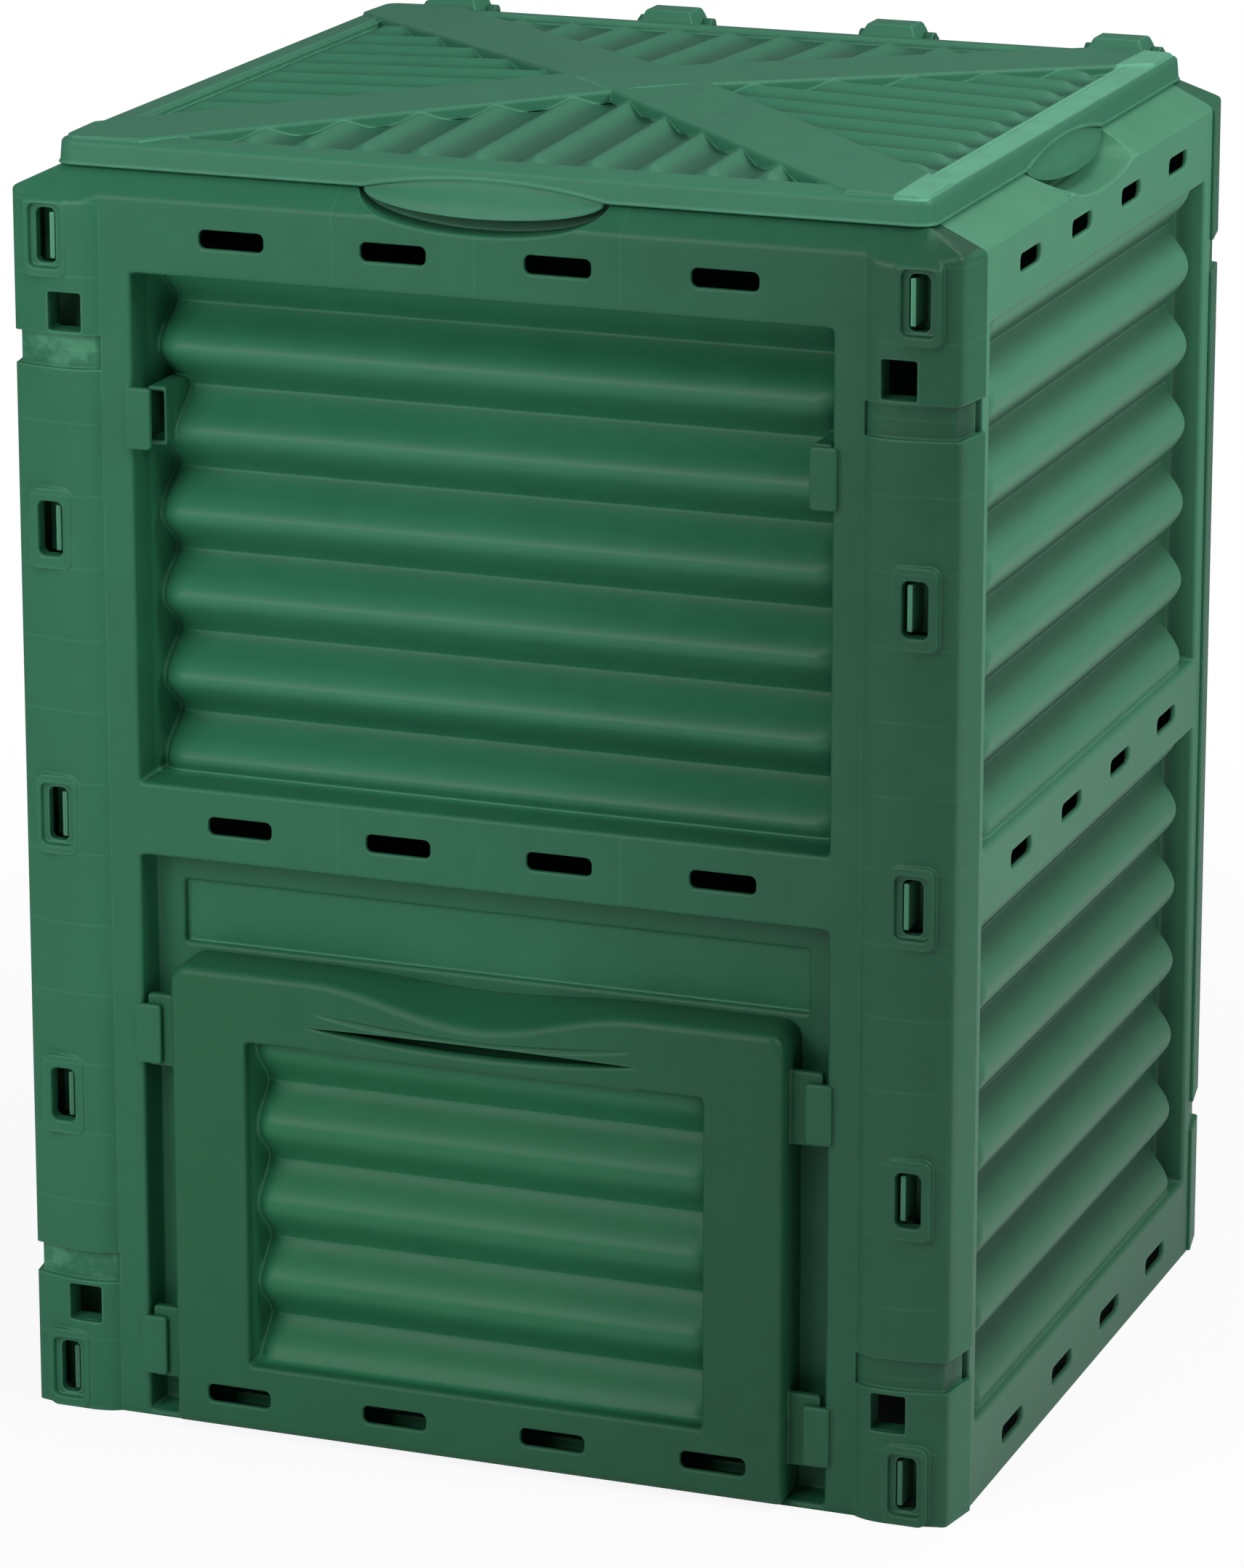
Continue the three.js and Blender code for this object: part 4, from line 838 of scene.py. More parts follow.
def make_hatch(settings):
    """The hatch: a scooped block, hollow behind, with waves in its window, slit, slots and tabs."""
    waves = sunk_waves(settings.hatch_crest, settings.hatch_trough, *HATCH_COMB)
    points, faces = hatch_block()
    piece = raw_piece("hatch_skin", (at_front(points), faces))
    hollow = hatch_outline(WALL, DIP_FRONT)
    cut(piece, at_front, through([(hollow, WALL - HATCH_PROUD), (hollow, HATCH_BACK + 4 * MM)]))
    low, high = HATCH_WINDOW
    half = HATCH_WINDOW_HALF + WALL
    join(piece, at_front, box(-half, half, 1 * MM - HATCH_PROUD, settings.hatch_trough + WALL - HATCH_PROUD,
                              low - WALL, high + WALL))
    cut(piece, at_front, hatch_plug(0, -HATCH_PROUD - PLUG_FRONT, waves))
    cut(piece, at_front, hatch_plug(WALL, HATCH_BACK + PLUG_BACK, waves))
    join(piece, at_front, box(-half, half, HATCH_BACK - WALL, HATCH_BACK, HATCH_COMB_TOP - HATCH_PITCH / 2,
                              HATCH_HIGH - DIP_FRONT - 2 * MM))
    join(piece, at_front, box(-GRIP_HALF, GRIP_HALF, 1 * MM - HATCH_PROUD, GRIP_LIP + 2 * MM - HATCH_PROUD,
                              high, GRIP_TOP))
    join(piece, at_front, both_sides([
        button(TAB_SIZE, 2 * MM, (TAB_X, z + TAB_RISE), TAB_BACK, 0.5 * MM, 1 * MM)
        for z in CLIP_LEVELS[1:]]))
    slots = slots_at(HATCH_SLOT_LEVEL, 0, -HATCH_PROUD, HATCH_SLOT_DEPTH - HATCH_PROUD, HATCH_SLOT_LIP)
    cut(piece, at_front, *slots, hatch_slit())
    cut(piece, at_front, hatch_groove())
    return piece


# Lid

def rim_profile():
    """Cross-section of the lid's skirt and rim as (inset, z), written in mm and turned to metres at
    the end: a bead, a drafted skirt, a rounded top edge, the rim with a groove in it, the curb, and
    back along the inside."""
    turn = np.linspace(0, QUARTER, 7)
    bead = np.column_stack([0.5 - 0.5 * np.cos(turn * 2), 790.1 + 1.3 * turn / turn[-1]])[::2]
    edge = np.column_stack([1.9 + 3.4 * (1 - np.cos(turn)), 801.4 + 3.4 * np.sin(turn)])
    groove = [[20.6, 806.3], [21.2, 806.0], [21.8, 804.9], [22.6, 804.5], [23.4, 804.9], [24, 805.6]]
    inner = [[25.2, 805.6], [25.9, 805.3], [26.2, 804.6], [26.2, 797], [22.7, 797], [22.7, 802.5],
             [6.6, 802.5], [3.9, 800], [3.5, 789.5], [0.4, 789.5]]
    return np.concatenate([bead, edge, groove, inner]) * MM


def round_frame(profile, half_x, half_y, radius):
    """A profile of (inset, z) carried round a rounded rectangle, closed both ways."""
    def loop(inset, z):
        corner = max(radius - inset, RIM_INNER_RADIUS)
        outline = rounded(2 * (half_x - inset), 2 * (half_y - inset), corner, 8)
        return np.column_stack([outline, np.full(len(outline), z)])

    grid = np.stack([loop(inset, z) for inset, z in profile])
    rows, columns = grid.shape[:2]
    faces = grid_faces(rows + 1, columns, wrap=True) % (rows * columns)
    return grid.reshape(-1, 3), faces.tolist()


def ripple(across):
    """Height of the lid's ripples, one at a ridge and nought in a valley: one less a power of one
    less the square of the share of the way to the next ridge. Valleys are broad, ridges round."""
    off = across / RIPPLE_PITCH
    share = 2 * np.abs(off - np.round(off))
    return 1 - np.maximum(1 - share ** 2, 0) ** RIPPLE_POWER


def lid_field(half, inward, height):
    """One rippled field of the lid, in its own frame: across, inward distance from the curb, z."""
    step = RIPPLE_PITCH / RIPPLE_STEPS
    count = int(half / step) + 2
    peaks = (np.arange(-8, 8) + 0.5) * RIPPLE_PITCH
    columns = np.concatenate([np.arange(-count, count + 1) * step, peaks - 0.8 * MM, peaks + 0.8 * MM])
    rows = np.concatenate([FIELD_ROWS, np.linspace(30, inward / MM, 22)]) * MM
    a, b = np.meshgrid(np.sort(columns), rows)
    fade = np.clip((b - FIELD_FLAT) / FIELD_FADE, 0, 1)
    fade = fade * fade * (3 - 2 * fade)
    base = FIELD_EDGE + (FIELD_CROWN - FIELD_EDGE) * np.clip(b / inward, 0, 1)
    wave = (ripple(a) - RIPPLE_MIDDLE) * fade - RIPPLE_START * (1 - fade)
    top = np.stack([a, b, base + height * wave], -1)
    reach = 1 + 2 * MM / inward
    foot = inward - inward * reach
    wedge = np.array([[0, inward], [half * reach, foot], [-half * reach, foot]])
    return crossed(shell(top, top - np.array([0, 0, WALL])), upright(wedge, *LID_SPAN))


def turned_field(solid, quarter, edge):
    """A field from its own frame to the lid: out to its curb, then round by quarter turns."""
    points, faces = solid
    x, y, z = points[:, 0], points[:, 1] - edge, points[:, 2]
    cos, sin = round(math.cos(quarter * QUARTER)), round(math.sin(quarter * QUARTER))
    return np.column_stack([x * cos - y * sin, x * sin + y * cos, z]), faces


def lid_arm(ways, half, drop, depth, edge):
    """One arm of the crossed bands, from the centre out past a corner: a bar with rounded top edges
    that falls evenly from the crown to the rim's level."""
    length = math.hypot(LID_X, LID_Y)
    turn = np.linspace(0, QUARTER, 5)
    right = np.column_stack([half - edge + edge * np.sin(turn), -edge + edge * np.cos(turn)])
    section = np.concatenate([[[-half, -depth], [half, -depth]], right[::-1], right * [-1, 1]])
    way = np.array(ways) * [LID_X, LID_Y] / length
    side = np.array([way[1], -way[0]])
    return stack([np.column_stack([way * along + section[:, :1] * side,
                                   CROWN - (CROWN - LID_TOP) * along / length - drop + section[:, 1]])
                  for along in (0, length)])


def tongue():
    """A dished finger tongue in the frame of a skirt at d = 0: across u, from its root under the
    arch down to a rolled edge, flaring outwards as the depth grows towards the middle. Its upper
    edge is a parabola and its lower edge half an ellipse."""
    u = -TONGUE_TIP * TONGUE_HALF * np.cos(np.linspace(0, math.pi, 37))
    bow = 1 - (u / TONGUE_HALF) ** 2
    round_bow = np.sqrt(bow)
    high = LID_LOW_EDGE + 0.6 * MM + (ARCH_HIGH + 0.8 * MM - LID_LOW_EDGE) * bow
    low = LID_LOW_EDGE - 0.6 * MM - (LID_LOW_EDGE - TONGUE_LOW) * round_bow
    t = TONGUE_ROWS
    out = np.sin(np.clip(t * TONGUE_FLARE_END, 0, 1) * QUARTER) ** TONGUE_FLARE_POWER
    flare = TONGUE_PROUD * round_bow * out
    roll = TONGUE_ROLL * np.clip((t - TONGUE_ROLL_START) / (1 - TONGUE_ROLL_START), 0, 1) ** 2 * round_bow
    z = high + (low - high) * t
    front = np.stack([np.tile(u, (len(t), 1)), TONGUE_ROOT - flare - roll + 0 * z, z], -1)
    front[-1, :, 1] += 0.7 * MM
    back = front + np.array([0, TONGUE_THICK, 0])
    back[..., 2] += 0.5 * MM * (1 - t)
    return shell(front, back)


def arch_bead():
    """The bead round the arch of a skirt: a round bar along the arch's parabola, on the skirt's
    drafted face."""
    half = TONGUE_HALF + 1 * MM
    u = np.linspace(-half, half, 33)
    z = LID_LOW_EDGE + 0.8 * MM + (ARCH_HIGH + 0.4 * MM - LID_LOW_EDGE) * (1 - (u / half) ** 2)
    return tube(u, 0.6 * MM + (z - LID_LOW_EDGE) * SKIRT_DRAFT, z, BEAD_RADIUS, 10)


def arch_cut():
    """The arch in a skirt's lower edge, its outer edge rounded by a quarter circle."""
    half, under = TONGUE_HALF - 1 * MM, LID_LOW_EDGE - 6 * MM
    steps = [(0, ARCH_BACK)] + rolled(ARCH_EDGE, 5) + [(ARCH_EDGE, -3 * MM)]
    return through([(lens(half + g, LID_LOW_EDGE, ARCH_HIGH + g, under), d) for g, d in steps])


def knuckle(x):
    """A hinge knuckle of the lid: a block under a tapered head, bored for its pin by the caller."""
    skirt, head, half = LID_Y - 1.6 * MM, HINGE_Y + HINGE_RADIUS, KNUCKLE_HALF
    turn = np.linspace(-QUARTER, 0, 7)
    outline = np.concatenate([
        [[skirt, LID_LOW_EDGE + 3.5 * MM]],
        np.column_stack([HINGE_Y + HINGE_RADIUS * np.cos(turn), HINGE_LEVEL + HINGE_RADIUS * np.sin(turn)]),
        [[head, 806.4 * MM], [head - 1.2 * MM, 809.6 * MM], [head - 4 * MM, KNUCKLE_HIGH],
         [LID_Y + 3 * MM, KNUCKLE_HIGH], [skirt, KNUCKLE_WAIST]],
    ])
    right = np.array([[half, KNUCKLE_FOOT], [half, KNUCKLE_WAIST], [half - 3.4 * MM, 810 * MM],
                      [half - 4.6 * MM, 812 * MM]])
    face = np.concatenate([right[:1] * [-1, 1], right, right[:0:-1] * [-1, 1]]) + [x, 0]
    return crossed(bar(outline, x - half, x + half), through([(face, d) for d in KNUCKLE_DEPTHS]))


def make_lid(settings):
    """The lid: skirt and rim, four rippled fields, crossed bands, three finger grips and knuckles."""
    piece = raw_piece("lid_skin", round_frame(rim_profile(), LID_X, LID_Y, LID_CORNER))
    field_x, field_y = LID_X - RIM_WIDTH, LID_Y - RIM_WIDTH
    fields = [(lid_field(half, edge, settings.ripple_height), edge)
              for half, edge in ((field_x, field_y), (field_y, field_x))]
    for quarter in range(4):
        field, edge = fields[quarter % 2]
        join(piece, as_is, turned_field(field, quarter, edge))
    brim = upright(rounded(2 * (LID_X - BRIM_INSET), 2 * (LID_Y - BRIM_INSET), BRIM_RADIUS), *LID_SPAN)
    over_x, over_y, half = field_x + KERB_OVERLAP, field_y + KERB_OVERLAP, BAND_WIDTH / 2
    kerb = box(-over_x, over_x, -over_y, over_y, *LID_SPAN)
    opening = box(-field_x, field_x, -field_y, field_y, *LID_SPAN)
    corners = [(x, y) for x in (-1, 1) for y in (-1, 1)]
    for ways in corners:
        join(piece, as_is, crossed(lid_arm(ways, half, 0, BAND_DROP, ARM_ROUND), kerb))
        join(piece, as_is, crossed(lid_arm(ways, half, 0, WALL, ARM_ROUND), brim))
    for ways in corners:
        cut(piece, as_is, crossed(lid_arm(ways, half - WALL, WALL, CHANNEL_DEPTH, CHANNEL_ROUND), opening))
    for place in AT_SKIRTS:
        cut(piece, place, arch_cut())
        join(piece, place, arch_bead())
        join(piece, place, tongue())
    join(piece, as_is, *[knuckle(x) for x in HINGE_SPOTS])
    cut(piece, as_is, *hinge_bores(KNUCKLE_HALF + 2 * MM))
    return piece


def make_pin(number, x):
    """A hinge pin with a low rounded head at its outer end: a profile turned about the hinge line."""
    half = EAR_REACH + EAR_THICK
    neck, head = half + 0.3 * MM, PIN_RADIUS + WALL / 2
    along, radius = np.array([
        [-half, 0.01 * MM], [-half, 1.9 * MM], [-half + 0.6 * MM, PIN_RADIUS], [neck, PIN_RADIUS],
        [neck, head - 0.2 * MM], [half + 0.5 * MM, head], [half + 1.3 * MM, head - 0.1 * MM],
        [half + 1.9 * MM, head - 0.9 * MM], [half + 2.05 * MM, 0.01 * MM]]).T
    turned = tube(x + math.copysign(1, x) * along, HINGE_Y, HINGE_LEVEL, radius, 28)
    return raw_piece(f"hinge_pin_{number}_skin", turned)


# Materials

class Socket:
    """An output of a shader node, with arithmetic that adds Math nodes."""

    def __init__(self, tree, output):
        self.tree = tree
        self.output = output

    def node(self, kind, inputs=None, output=0, **settings):
        """Adds any node: its settings, and sockets or plain values on its inputs by name or number."""
        made = self.tree.nodes.new(kind)
        for key, value in settings.items():
            setattr(made, key, value)
        for key, value in (inputs or {}).items():
            if isinstance(value, Socket):
                self.tree.links.new(value.output, made.inputs[key])
            else:
                made.inputs[key].default_value = value
        return Socket(self.tree, made.outputs[output])

    def math(self, operation, first, second=0.0):
        """A Math node of one or two values."""
        return self.node("ShaderNodeMath", {0: first, 1: second}, operation=operation)

    def share(self):
        """This value held between nought and one."""
        return self.node("ShaderNodeClamp", {0: self})

    def size(self):
        """This value without its sign."""
        return self.math("ABSOLUTE", self)

    def __add__(self, other):
        return self.math("ADD", self, other)

    def __sub__(self, other):
        return self.math("SUBTRACT", self, other)

    def __rsub__(self, other):
        return self.math("SUBTRACT", other, self)

    def __mul__(self, other):
        return self.math("MULTIPLY", self, other)

    def __truediv__(self, other):
        return self.math("DIVIDE", self, other)

    __radd__ = __add__
    __rmul__ = __mul__


def step_up(value, low, high):
    """A smooth step of a socket from nought at the low to one at the high."""
    return value.node("ShaderNodeMapRange", {0: value, 1: low, 2: high, 3: 0.0, 4: 1.0},
                      interpolation_type="SMOOTHSTEP")


def between(value, low, high, soft):
    """One between two numbers and nought outside, with a soft step inside either of them."""
    return step_up(value, low, low + soft) * (1 - step_up(value, high - soft, high))


def noise(place, scale, detail, rough=0.55):
    """Noise about a half at a scale in waves per metre."""
    return place.node("ShaderNodeTexNoise", {"Vector": place, "Scale": scale, "Detail": detail,
                                             "Roughness": rough})


def blend(first, second, share):
    """A colour mixed towards another by a share."""
    return share.node("ShaderNodeMix", {0: share, 6: first, 7: second}, output=2, data_type="RGBA",
                      clamp_factor=True)


def place_and_parts(tree):
    """The Object coordinates and their x, y and z."""
    place = Socket(tree, None).node("ShaderNodeTexCoord", output="Object")
    parts = place.node("ShaderNodeSeparateXYZ", {0: place}).output.node.outputs
    return place, [Socket(tree, part) for part in parts]


def band_share(x, z):
    """Where the recessed bands lie round the posts."""
    rings = [between(z, low - 1 * MM, high + 1 * MM, 5 * MM) for low, high in BANDS]
    return step_up(x.size(), STRIP_OUTER + 1 * MM, STRIP_OUTER + 5 * MM) * (rings[0] + rings[1])


def thin_line(value, at):
    """A faint line, about a millimetre wide, where a value meets a number."""
    return 1 - step_up((value - at).size(), 0.3 * MM, 1.1 * MM)


def mould_lines(x, z):
    """Faint lines left by the mould: across the posts at even steps, and up the rails."""
    steps = (z - MOULD_LEVEL) / MOULD_PITCH
    off = steps.math("FRACT", steps + 0.5) * MOULD_PITCH
    post = step_up(x.size(), STRIP_OUTER + 1.5 * MM, STRIP_OUTER + 2.5 * MM)
    across = thin_line(off, MOULD_PITCH / 2) * post
    rail = step_up(z, *TOP_RAIL) + between(z, *MID_RAIL, 1 * MM)
    up = (thin_line(x.size(), MOULD_X[0]) + thin_line(x.size(), MOULD_X[1])) * rail
    return across + up * LINES_UP


def sunk_field(parts, across, half, inward, near, far, top):
    """Where a wall's waves lie, for the painted light and shade laid on them: within a half width, under a
    level, and shading off towards the face.
    """
    sideways = 1 - step_up(parts[across].size(), half, half + 1 * MM)
    deep = 1 - step_up(parts[inward].size(), near, far)
    return sideways * deep * (1 - step_up(parts[2], top, top + 4 * MM))


def lid_valleys(x, y):
    """How deep a point lies between the lid's ripples, outside the bands and the rim, for the painted shade
    there. The ripples run in from the curbs, so the nearer pair of curbs says which way they are counted."""
    side, front = x.size(), y.size()
    lead = (side * LID_Y - front * LID_X) / math.hypot(LID_X, LID_Y)
    off = (x + (y - x) * step_up(lead, -1 * MM, 1 * MM)) / RIPPLE_PITCH
    low = 1 - step_up((off.math("FRACT", off + 0.5) - 0.5).size(), *VALLEY)
    apart = step_up(lead.size(), BAND_WIDTH / 2, BAND_WIDTH / 2 + 2 * MM)
    curb_x, curb_y = LID_X - RIM_WIDTH, LID_Y - RIM_WIDTH
    return (low * apart * (1 - step_up(side, curb_x - 2 * MM, curb_x))
            * (1 - step_up(front, curb_y - 2 * MM, curb_y)))


def painted_rim_sheen(x, z):
    """Painted sheen on the lid's right rim strip, which catches the light."""
    return step_up(x, *RIM_NEAR) * (1 - step_up(x, *RIM_FAR)) * step_up(z, *RIM_UP)


def plastic(name, colour, settings, worn_and_band_shade=False, rim=False, fade=(0.0, 0.0, 0.0), gloss=0.28, sunk=None,
            lift=0.0):
    """Matte recycled plastic: soft clouds and specks in the colour, paler edges that are partly wear and
    partly painted highlight, a leathery grain.
    The fade is painted shading, a change of tone per metre: on the left half, on the right half up to the
    post's cheek, and upwards. Sunk waves get painted light where the lift is positive and painted shade where
    it is negative; the lid's rim gets painted shade in its valleys and a painted sheen on its right strip."""
    material = bpy.data.materials.new(name)
    material.use_nodes = True
    tree = material.node_tree
    shader = tree.nodes["Principled BSDF"]
    place, (x, y, z) = place_and_parts(tree)
    clouds, patches, specks = (noise(place, *one) for one in (CLOUDS, PATCHES, SPECKS))
    tone = 1 + (clouds - 0.5) * CLOUD_TONE + (patches - 0.5) * settings.mottle + (specks - 0.5) * SPECK_TONE
    # Painted shading: lighter on the left half, darker on the right half up to the post's cheek, and changing
    # upwards
    facing = 1 - step_up(x, *CHEEK)
    tone = tone + x.math("MINIMUM", x, 0.0) * fade[0] + x.math("MAXIMUM", x, 0.0) * facing * fade[1]
    tone = tone + (z - 0.4) * fade[2]
    # Painted light on the sunk waves of the front and hatch, painted shade in the sides' troughs
    if sunk:
        tone = tone * (1 + sunk_field((x, y, z), *sunk) * lift)
    base = (*colour, 1.0)
    pale = (*(min(1.0, c * PALER[0] + PALER[1]) for c in colour), 1.0)
    geometry = place.node("ShaderNodeNewGeometry", output="True Normal")
    soft = place.node("ShaderNodeBevel", {"Radius": EDGE_WIDTH}, samples=6)
    turned = place.node("ShaderNodeVectorMath", {0: geometry, 1: soft}, output="Value",
                        operation="DOT_PRODUCT")
    # Paler edges: partly worn edges, partly painted highlight along them
    edges = step_up(1 - turned, *EDGE_TURN)
    pale_marks_and_sheen = (edges * (0.35 + patches * 0.7) * settings.edge_wear_and_highlight).share()
    if worn_and_band_shade:
        bands = band_share(x, z)
        left = 1 - step_up(x, -10 * MM, 10 * MM)
        wear = step_up(noise(place, *WEAR), *WORN) * left
        pale_marks_and_sheen = (pale_marks_and_sheen + bands * wear * BAND_PALE + mould_lines(x, z) * (0.05 + patches * 0.12)).share()
        # Painted shade in the recessed bands on the right half
        tone = tone - bands * (1 - left) * BAND_PAINTED_SHADE
    if rim:
        # Painted shade in the valleys between the lid's ripples
        tone = tone * (1 - lid_valleys(x, y) * LID_SHADE)
        # Painted sheen on the lid's right rim strip
        pale_marks_and_sheen = (pale_marks_and_sheen + painted_rim_sheen(x, z) * (0.75 + patches * 0.5)).share()
    toned = place.node("ShaderNodeVectorMath", {0: blend(base, pale, pale_marks_and_sheen), 3: tone}, operation="SCALE")
    rough = settings.roughness + (patches - 0.5) * PATCH_ROUGH + (specks - 0.5) * SPECK_ROUGH
    grain = noise(place, *FINE_GRAIN) * 0.6 + noise(place, *COARSE_GRAIN) * 0.5
    bump = place.node("ShaderNodeBump", {"Strength": settings.grain, "Distance": BUMP_DEPTH, "Height": grain,
                                         "Normal": soft})
    for key, value in (("Base Color", toned), ("Roughness", rough), ("Normal", bump)):
        tree.links.new(value.output, shader.inputs[key])
    shader.inputs["Specular IOR Level"].default_value = gloss
    return material


# Settings

def length(name, description, default, low, high):
    """A length property in metres."""
    return FloatProperty(name=name, description=description, default=default, min=low, max=high,
                         subtype="DISTANCE", unit="LENGTH", precision=4)


def tint(name, description, default):
    """A colour property, linear."""
    return FloatVectorProperty(name=name, description=description, default=default, size=3, min=0.0, max=1.0,
                               subtype="COLOR")


def power(name, description, default):
    """A lamp's power in watts."""
    return FloatProperty(name=name, description=description, default=default, min=0.0,
                         subtype="POWER", unit="POWER")


def factor(name, description, default, high=1.0):
    """A plain factor property."""
    return FloatProperty(name=name, description=description, default=default, min=0.0, max=high,
                         subtype="FACTOR", unit="NONE")


class BIN_PG_waves(bpy.types.PropertyGroup):
    """Depths of the waves and height of the lid's ripples."""
    front_crest: length("Front crest", "Depth of the front's and back's crests", 0.026, 0.01, 0.04)
    front_trough: length("Front trough", "Depth of the front's and back's troughs", 0.05, 0.03, 0.052)
    side_crest: length("Side crest", "Depth of the sides' crests", 0.004, 0.003, 0.012)
    side_trough: length("Side trough", "Depth of the sides' troughs", 0.02, 0.014, 0.024)
    hatch_crest: length("Hatch crest", "Depth of the hatch's crests behind its face", 0.0125, 0.008, 0.02)
    hatch_trough: length("Hatch trough", "Depth of the hatch's troughs behind its face", 0.03, 0.02, 0.032)
    ripple_height: length("Ripple height", "Height of the lid's ripples", 0.0068, 0.002, 0.007)


class BIN_PG_plastic(bpy.types.PropertyGroup):
    """Colours and surface of the plastic."""
    front: tint("Front", "Colour of the front and back walls", (0.0195, 0.125, 0.0635))
    # The sides' colour is set lighter and greyer than the front's, as painted light from the right and
    # painted sheen
    side: tint("Sides", "Colour of the side walls", (0.053, 0.197, 0.113))
    lid: tint("Lid", "Colour of the lid", (0.036, 0.174, 0.100))
    hatch: tint("Hatch", "Colour of the hatch", (0.0145, 0.100, 0.0465))
    pin: tint("Pins", "Colour of the hinge pins", (0.018, 0.080, 0.042))
    roughness: factor("Roughness", "Mean roughness of the plastic", 0.46)
    grain: factor("Grain", "Strength of the leathery grain", 0.22)
    mottle: factor("Mottle", "How strongly small patches of colour vary", 0.22)
    # Paler edges stand for worn edges and for painted highlights along them
    edge_wear_and_highlight: factor("Edge wear", "How pale the edges are", 0.8, 2.0)


class BIN_PG_stage(bpy.types.PropertyGroup):
    """Camera and lights."""
    key_power: power("Key light", "Power of the lamp on the right", 50.0)
    fill_power: power("Fill light", "Power of the lamp at the front's left", 28.0)
    top_power: power("Top light", "Power of the lamp over the lid", 11.0)
    brow_power: power("Brow light", "Power of the lamp over the front", 9.5)
    sky: factor("Sky", "Brightness of the studio's even light", 0.23, 3.0)
    lens: FloatProperty(name="Lens", description="Focal length of the camera", default=152.5, min=20.0,
                        max=400.0, subtype="DISTANCE_CAMERA", unit="CAMERA")


# Operators

class BIN_OT_front(bpy.types.Operator):
    """Builds the front wall, with its posts, waves, sunk field and clips"""
    bl_idname = "bin.front"
    bl_label = "Front wall"

    def execute(self, context):
        scene = context.scene
        green = plastic("front_plastic", scene.bin_plastic.front, scene.bin_plastic, worn_and_band_shade=True,
                        fade=FRONT_PAINTED_SHADING, sunk=FRONT_SUNK, lift=FRONT_WAVES_PAINTED_LIGHT)
        finish_piece(make_front(scene.bin_waves), green, "bin", "front_wall")
        return {"FINISHED"}


class BIN_OT_back(bpy.types.Operator):
    """Builds the back wall, with its posts, waves and hinge ears"""
    bl_idname = "bin.back"
    bl_label = "Back wall"

    def execute(self, context):
        scene = context.scene
        green = plastic("back_plastic", scene.bin_plastic.front, scene.bin_plastic, worn_and_band_shade=True)
        finish_piece(make_back(scene.bin_waves), green, "bin", "back_wall")
        return {"FINISHED"}


class BIN_OT_sides(bpy.types.Operator):
    """Builds the two side walls, with their waves, lugs and finger notches"""
    bl_idname = "bin.sides"
    bl_label = "Side walls"

    def execute(self, context):
        scene = context.scene
        green = plastic("side_plastic", scene.bin_plastic.side, scene.bin_plastic, fade=SIDE_PAINTED_SHADING,
                        sunk=SIDE_SUNK, lift=SIDE_TROUGHS_PAINTED_SHADE)
        right = make_side("right_wall_skin", at_right, SIDE_SLOT_SHIFT, scene.bin_waves)
        left = make_side("left_wall_skin", at_left, -SIDE_SLOT_SHIFT, scene.bin_waves)
        finish_piece(right, green, "bin", "right_wall")
        finish_piece(left, green, "bin", "left_wall")
        return {"FINISHED"}


class BIN_OT_hatch(bpy.types.Operator):
    """Builds the lift-up hatch, with its waves, slit and tabs"""
    bl_idname = "bin.hatch"
    bl_label = "Hatch"

    def execute(self, context):
        scene = context.scene
        green = plastic("hatch_plastic", scene.bin_plastic.hatch, scene.bin_plastic, fade=FRONT_PAINTED_SHADING,
                        gloss=0.25, sunk=HATCH_SUNK, lift=HATCH_WAVES_PAINTED_LIGHT)
        finish_piece(make_hatch(scene.bin_waves), green, "hatch", "hatch")
        return {"FINISHED"}


class BIN_OT_lid(bpy.types.Operator):
    """Builds the lid, with its rippled fields, crossed bands, grips and knuckles"""
    bl_idname = "bin.lid"
    bl_label = "Lid"

    def execute(self, context):
        scene = context.scene
        green = plastic("lid_plastic", scene.bin_plastic.lid, scene.bin_plastic, rim=True, gloss=0.22)
        finish_piece(make_lid(scene.bin_waves), green, "lid", "lid")
        return {"FINISHED"}


class BIN_OT_pins(bpy.types.Operator):
    """Builds the four hinge pins"""
    bl_idname = "bin.pins"
    bl_label = "Hinge pins"

    def execute(self, context):
        scene = context.scene
        green = plastic("pin_plastic", scene.bin_plastic.pin, scene.bin_plastic)
        for number, x in enumerate(HINGE_SPOTS, 1):
            finish_piece(make_pin(number, x), green, "bin", f"hinge_pin_{number}")
        return {"FINISHED"}


def area_light(name, place, aim, size, power):
    """A square area light turned from its place to the point that it aims at."""
    data = bpy.data.lights.new(name, "AREA")
    data.shape = "RECTANGLE"
    data.size, data.size_y = size
    data.energy = power
    lamp = bpy.data.objects.new(name, data)
    lamp.location = place
    lamp.rotation_euler = (Vector(aim) - Vector(place)).to_track_quat("-Z", "Y").to_euler()
    bpy.context.scene.collection.objects.link(lamp)
    return lamp


def white_for_camera(tree, lit, strength):
    """Mixes a shader with plain white, by a strength, for what the camera sees of it."""
    root = Socket(tree, None)
    seen = root.node("ShaderNodeLightPath", output="Is Camera Ray") * strength
    white = root.node("ShaderNodeEmission", {0: (1, 1, 1, 1)})
    return root.node("ShaderNodeMixShader", {0: seen, 1: lit, 2: white})


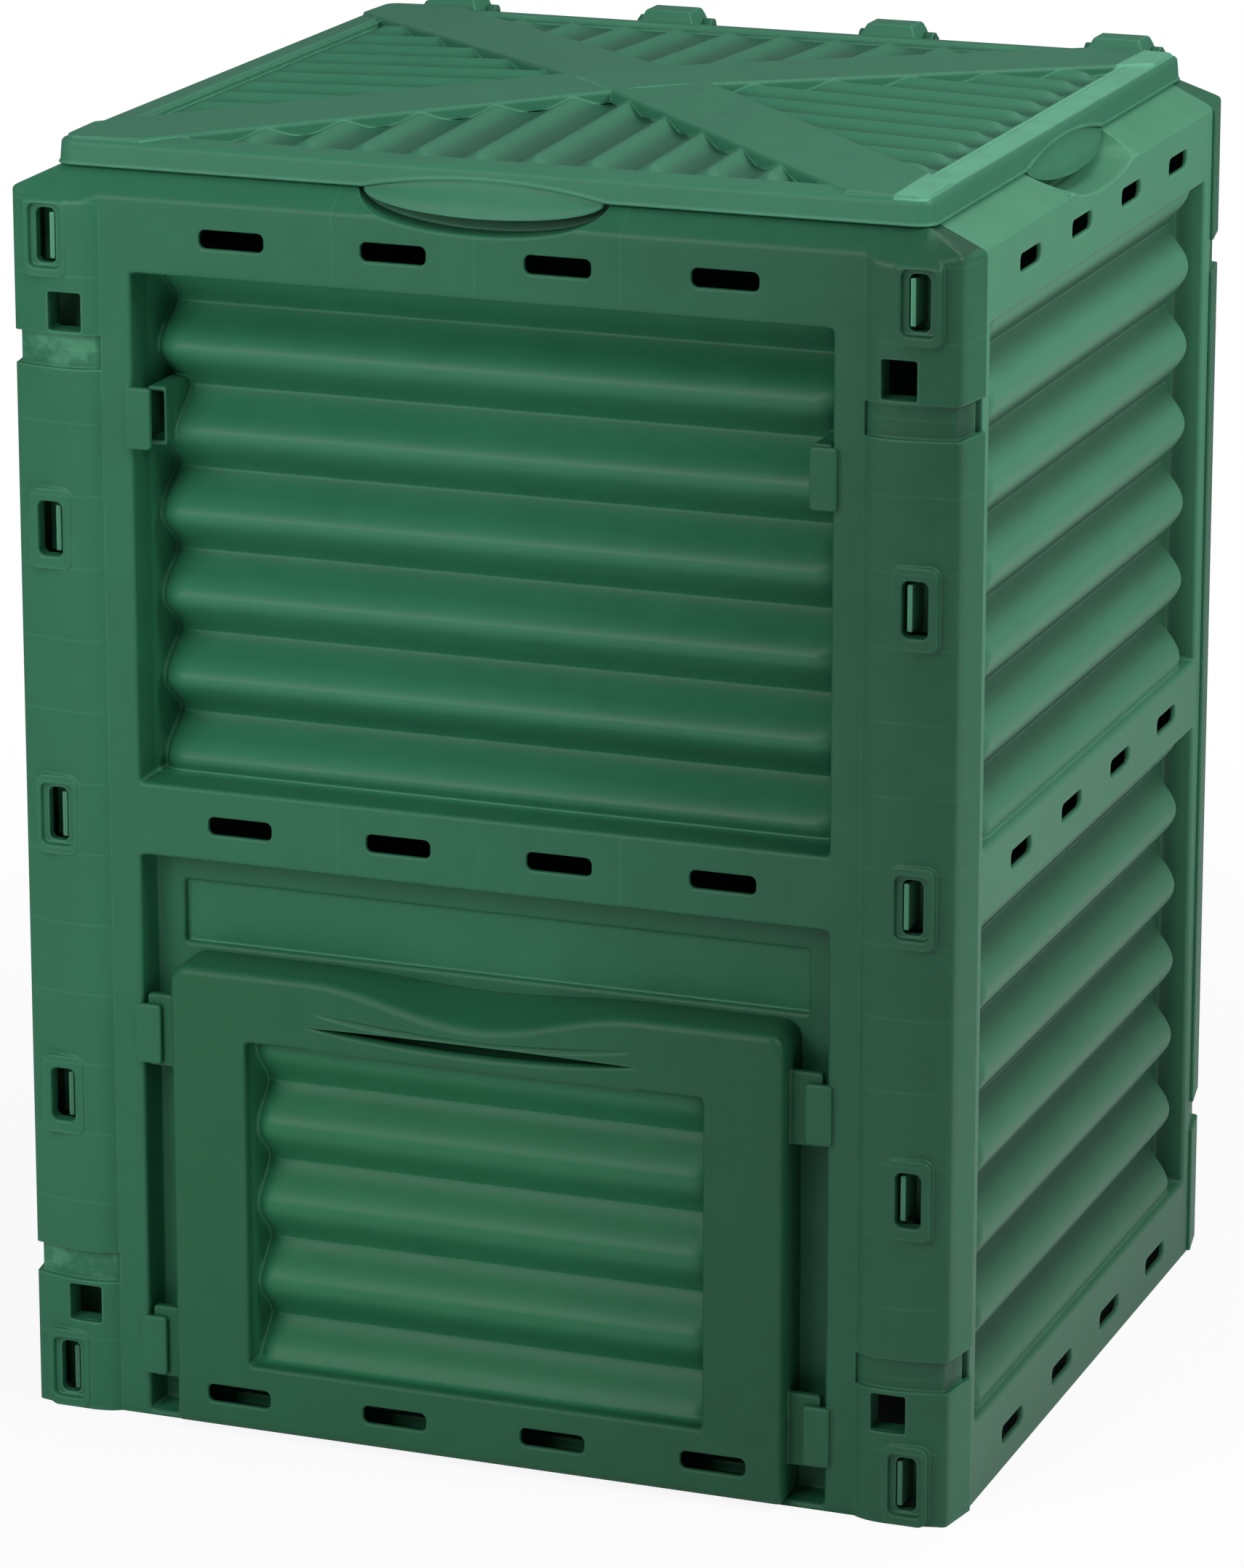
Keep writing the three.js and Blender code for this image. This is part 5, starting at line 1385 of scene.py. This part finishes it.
class BIN_OT_stage(bpy.types.Operator):
    """Sets the floor, the even light, the lamps and the camera"""
    bl_idname = "bin.stage"
    bl_label = "Stage"

    def execute(self, context):
        scene = context.scene
        settings = scene.bin_stage
        self.floor()
        self.sky(scene, settings)
        area_light("key", (2.35, -0.3, 2.3), (0.3, 0.0, 0.5), (1.1, 1.1), settings.key_power)
        area_light("fill", (-0.9, -2.3, 1.5), (-0.05, -0.27, 0.45), (1.3, 1.3), settings.fill_power)
        area_light("top", (0.5, 1.0, 2.7), (0.0, 0.0, 0.8), (1.2, 1.2), settings.top_power)
        area_light("brow", (0.1, -1.6, 2.3), (0.0, -0.2, 0.5), (0.7, 0.7), settings.brow_power)
        self.camera(scene, settings)
        scene.view_settings.view_transform = "Standard"
        return {"FINISHED"}

    def floor(self):
        """A pale floor that turns white for the camera away from the bin; inside the bin it stays lit."""
        plane = np.array([[-1, -1, 0], [1, -1, 0], [1, 1, 0], [-1, 1, 0]]) * FLOOR_HALF
        mesh = bpy.data.meshes.new("floor")
        mesh.from_pydata(plane, [], [[0, 1, 2, 3]])
        floor = bpy.data.objects.new("floor", mesh)
        bpy.context.scene.collection.objects.link(floor)
        material = bpy.data.materials.new("floor_white")
        material.use_nodes = True
        tree = material.node_tree
        shader = tree.nodes["Principled BSDF"]
        shader.inputs["Base Color"].default_value = (0.86, 0.87, 0.87, 1.0)
        shader.inputs["Roughness"].default_value = 0.9
        _, (x, y, _) = place_and_parts(tree)
        outside = 1 - (1 - step_up(x.size(), *FLOOR_X)) * (1 - step_up(y.size(), *FLOOR_Y))
        away = (x * x + y * y).math("SQRT", x * x + y * y)
        white = 0.9 + step_up(away, *FLOOR_WHITE) * 0.1
        mixed = white_for_camera(tree, Socket(tree, shader.outputs[0]), outside * white)
        tree.links.new(mixed.output, tree.nodes["Material Output"].inputs[0])
        mesh.materials.append(material)

    def sky(self, scene, settings):
        """An even grey light all round, white where the camera sees it."""
        world = bpy.data.worlds.new("studio")
        world.use_nodes = True
        tree = world.node_tree
        background = tree.nodes["Background"]
        background.inputs[0].default_value = (0.93, 0.96, 1.0, 1.0)
        background.inputs[1].default_value = settings.sky
        mixed = white_for_camera(tree, Socket(tree, background.outputs[0]), 1.0)
        tree.links.new(mixed.output, tree.nodes["World Output"].inputs[0])
        scene.world = world

    def camera(self, scene, settings):
        """The camera, fitted to the photo's corners."""
        data = bpy.data.cameras.new("camera")
        data.lens = settings.lens
        data.sensor_width = 36.0
        data.shift_y = CAMERA_SHIFT
        data.clip_end = 30.0
        camera = bpy.data.objects.new("camera", data)
        camera.location, camera.rotation_euler = CAMERA_AT, CAMERA_TURN
        scene.collection.objects.link(camera)
        scene.camera = camera


class BIN_PT_panel(bpy.types.Panel):
    """The settings and the build buttons, in the 3D view's sidebar"""
    bl_idname = "BIN_PT_panel"
    bl_label = "Compost bin"
    bl_space_type = "VIEW_3D"
    bl_region_type = "UI"
    bl_category = "Compost bin"

    def draw(self, context):
        scene = context.scene
        for group in (scene.bin_waves, scene.bin_plastic, scene.bin_stage):
            column = self.layout.column(align=True)
            for name in group.__annotations__:
                column.prop(group, name)
        column = self.layout.column(align=True)
        for step in STEPS:
            column.operator(step.bl_idname)


GROUPS = {"bin_waves": BIN_PG_waves, "bin_plastic": BIN_PG_plastic, "bin_stage": BIN_PG_stage}
STEPS = (BIN_OT_front, BIN_OT_back, BIN_OT_sides, BIN_OT_hatch, BIN_OT_lid, BIN_OT_pins, BIN_OT_stage)


def register():
    """Registers the settings, the operators and the panel."""
    for one in (*GROUPS.values(), *STEPS, BIN_PT_panel):
        bpy.utils.register_class(one)
    for name, group in GROUPS.items():
        setattr(bpy.types.Scene, name, PointerProperty(type=group))


def unregister():
    """Takes all of it out again."""
    for name in GROUPS:
        delattr(bpy.types.Scene, name)
    for one in reversed((*GROUPS.values(), *STEPS, BIN_PT_panel)):
        bpy.utils.unregister_class(one)


def main():
    """Builds every piece and the stage."""
    register()
    for step in STEPS:
        group, name = step.bl_idname.split(".")
        getattr(getattr(bpy.ops, group), name)()


if __name__ == "__main__":
    main()
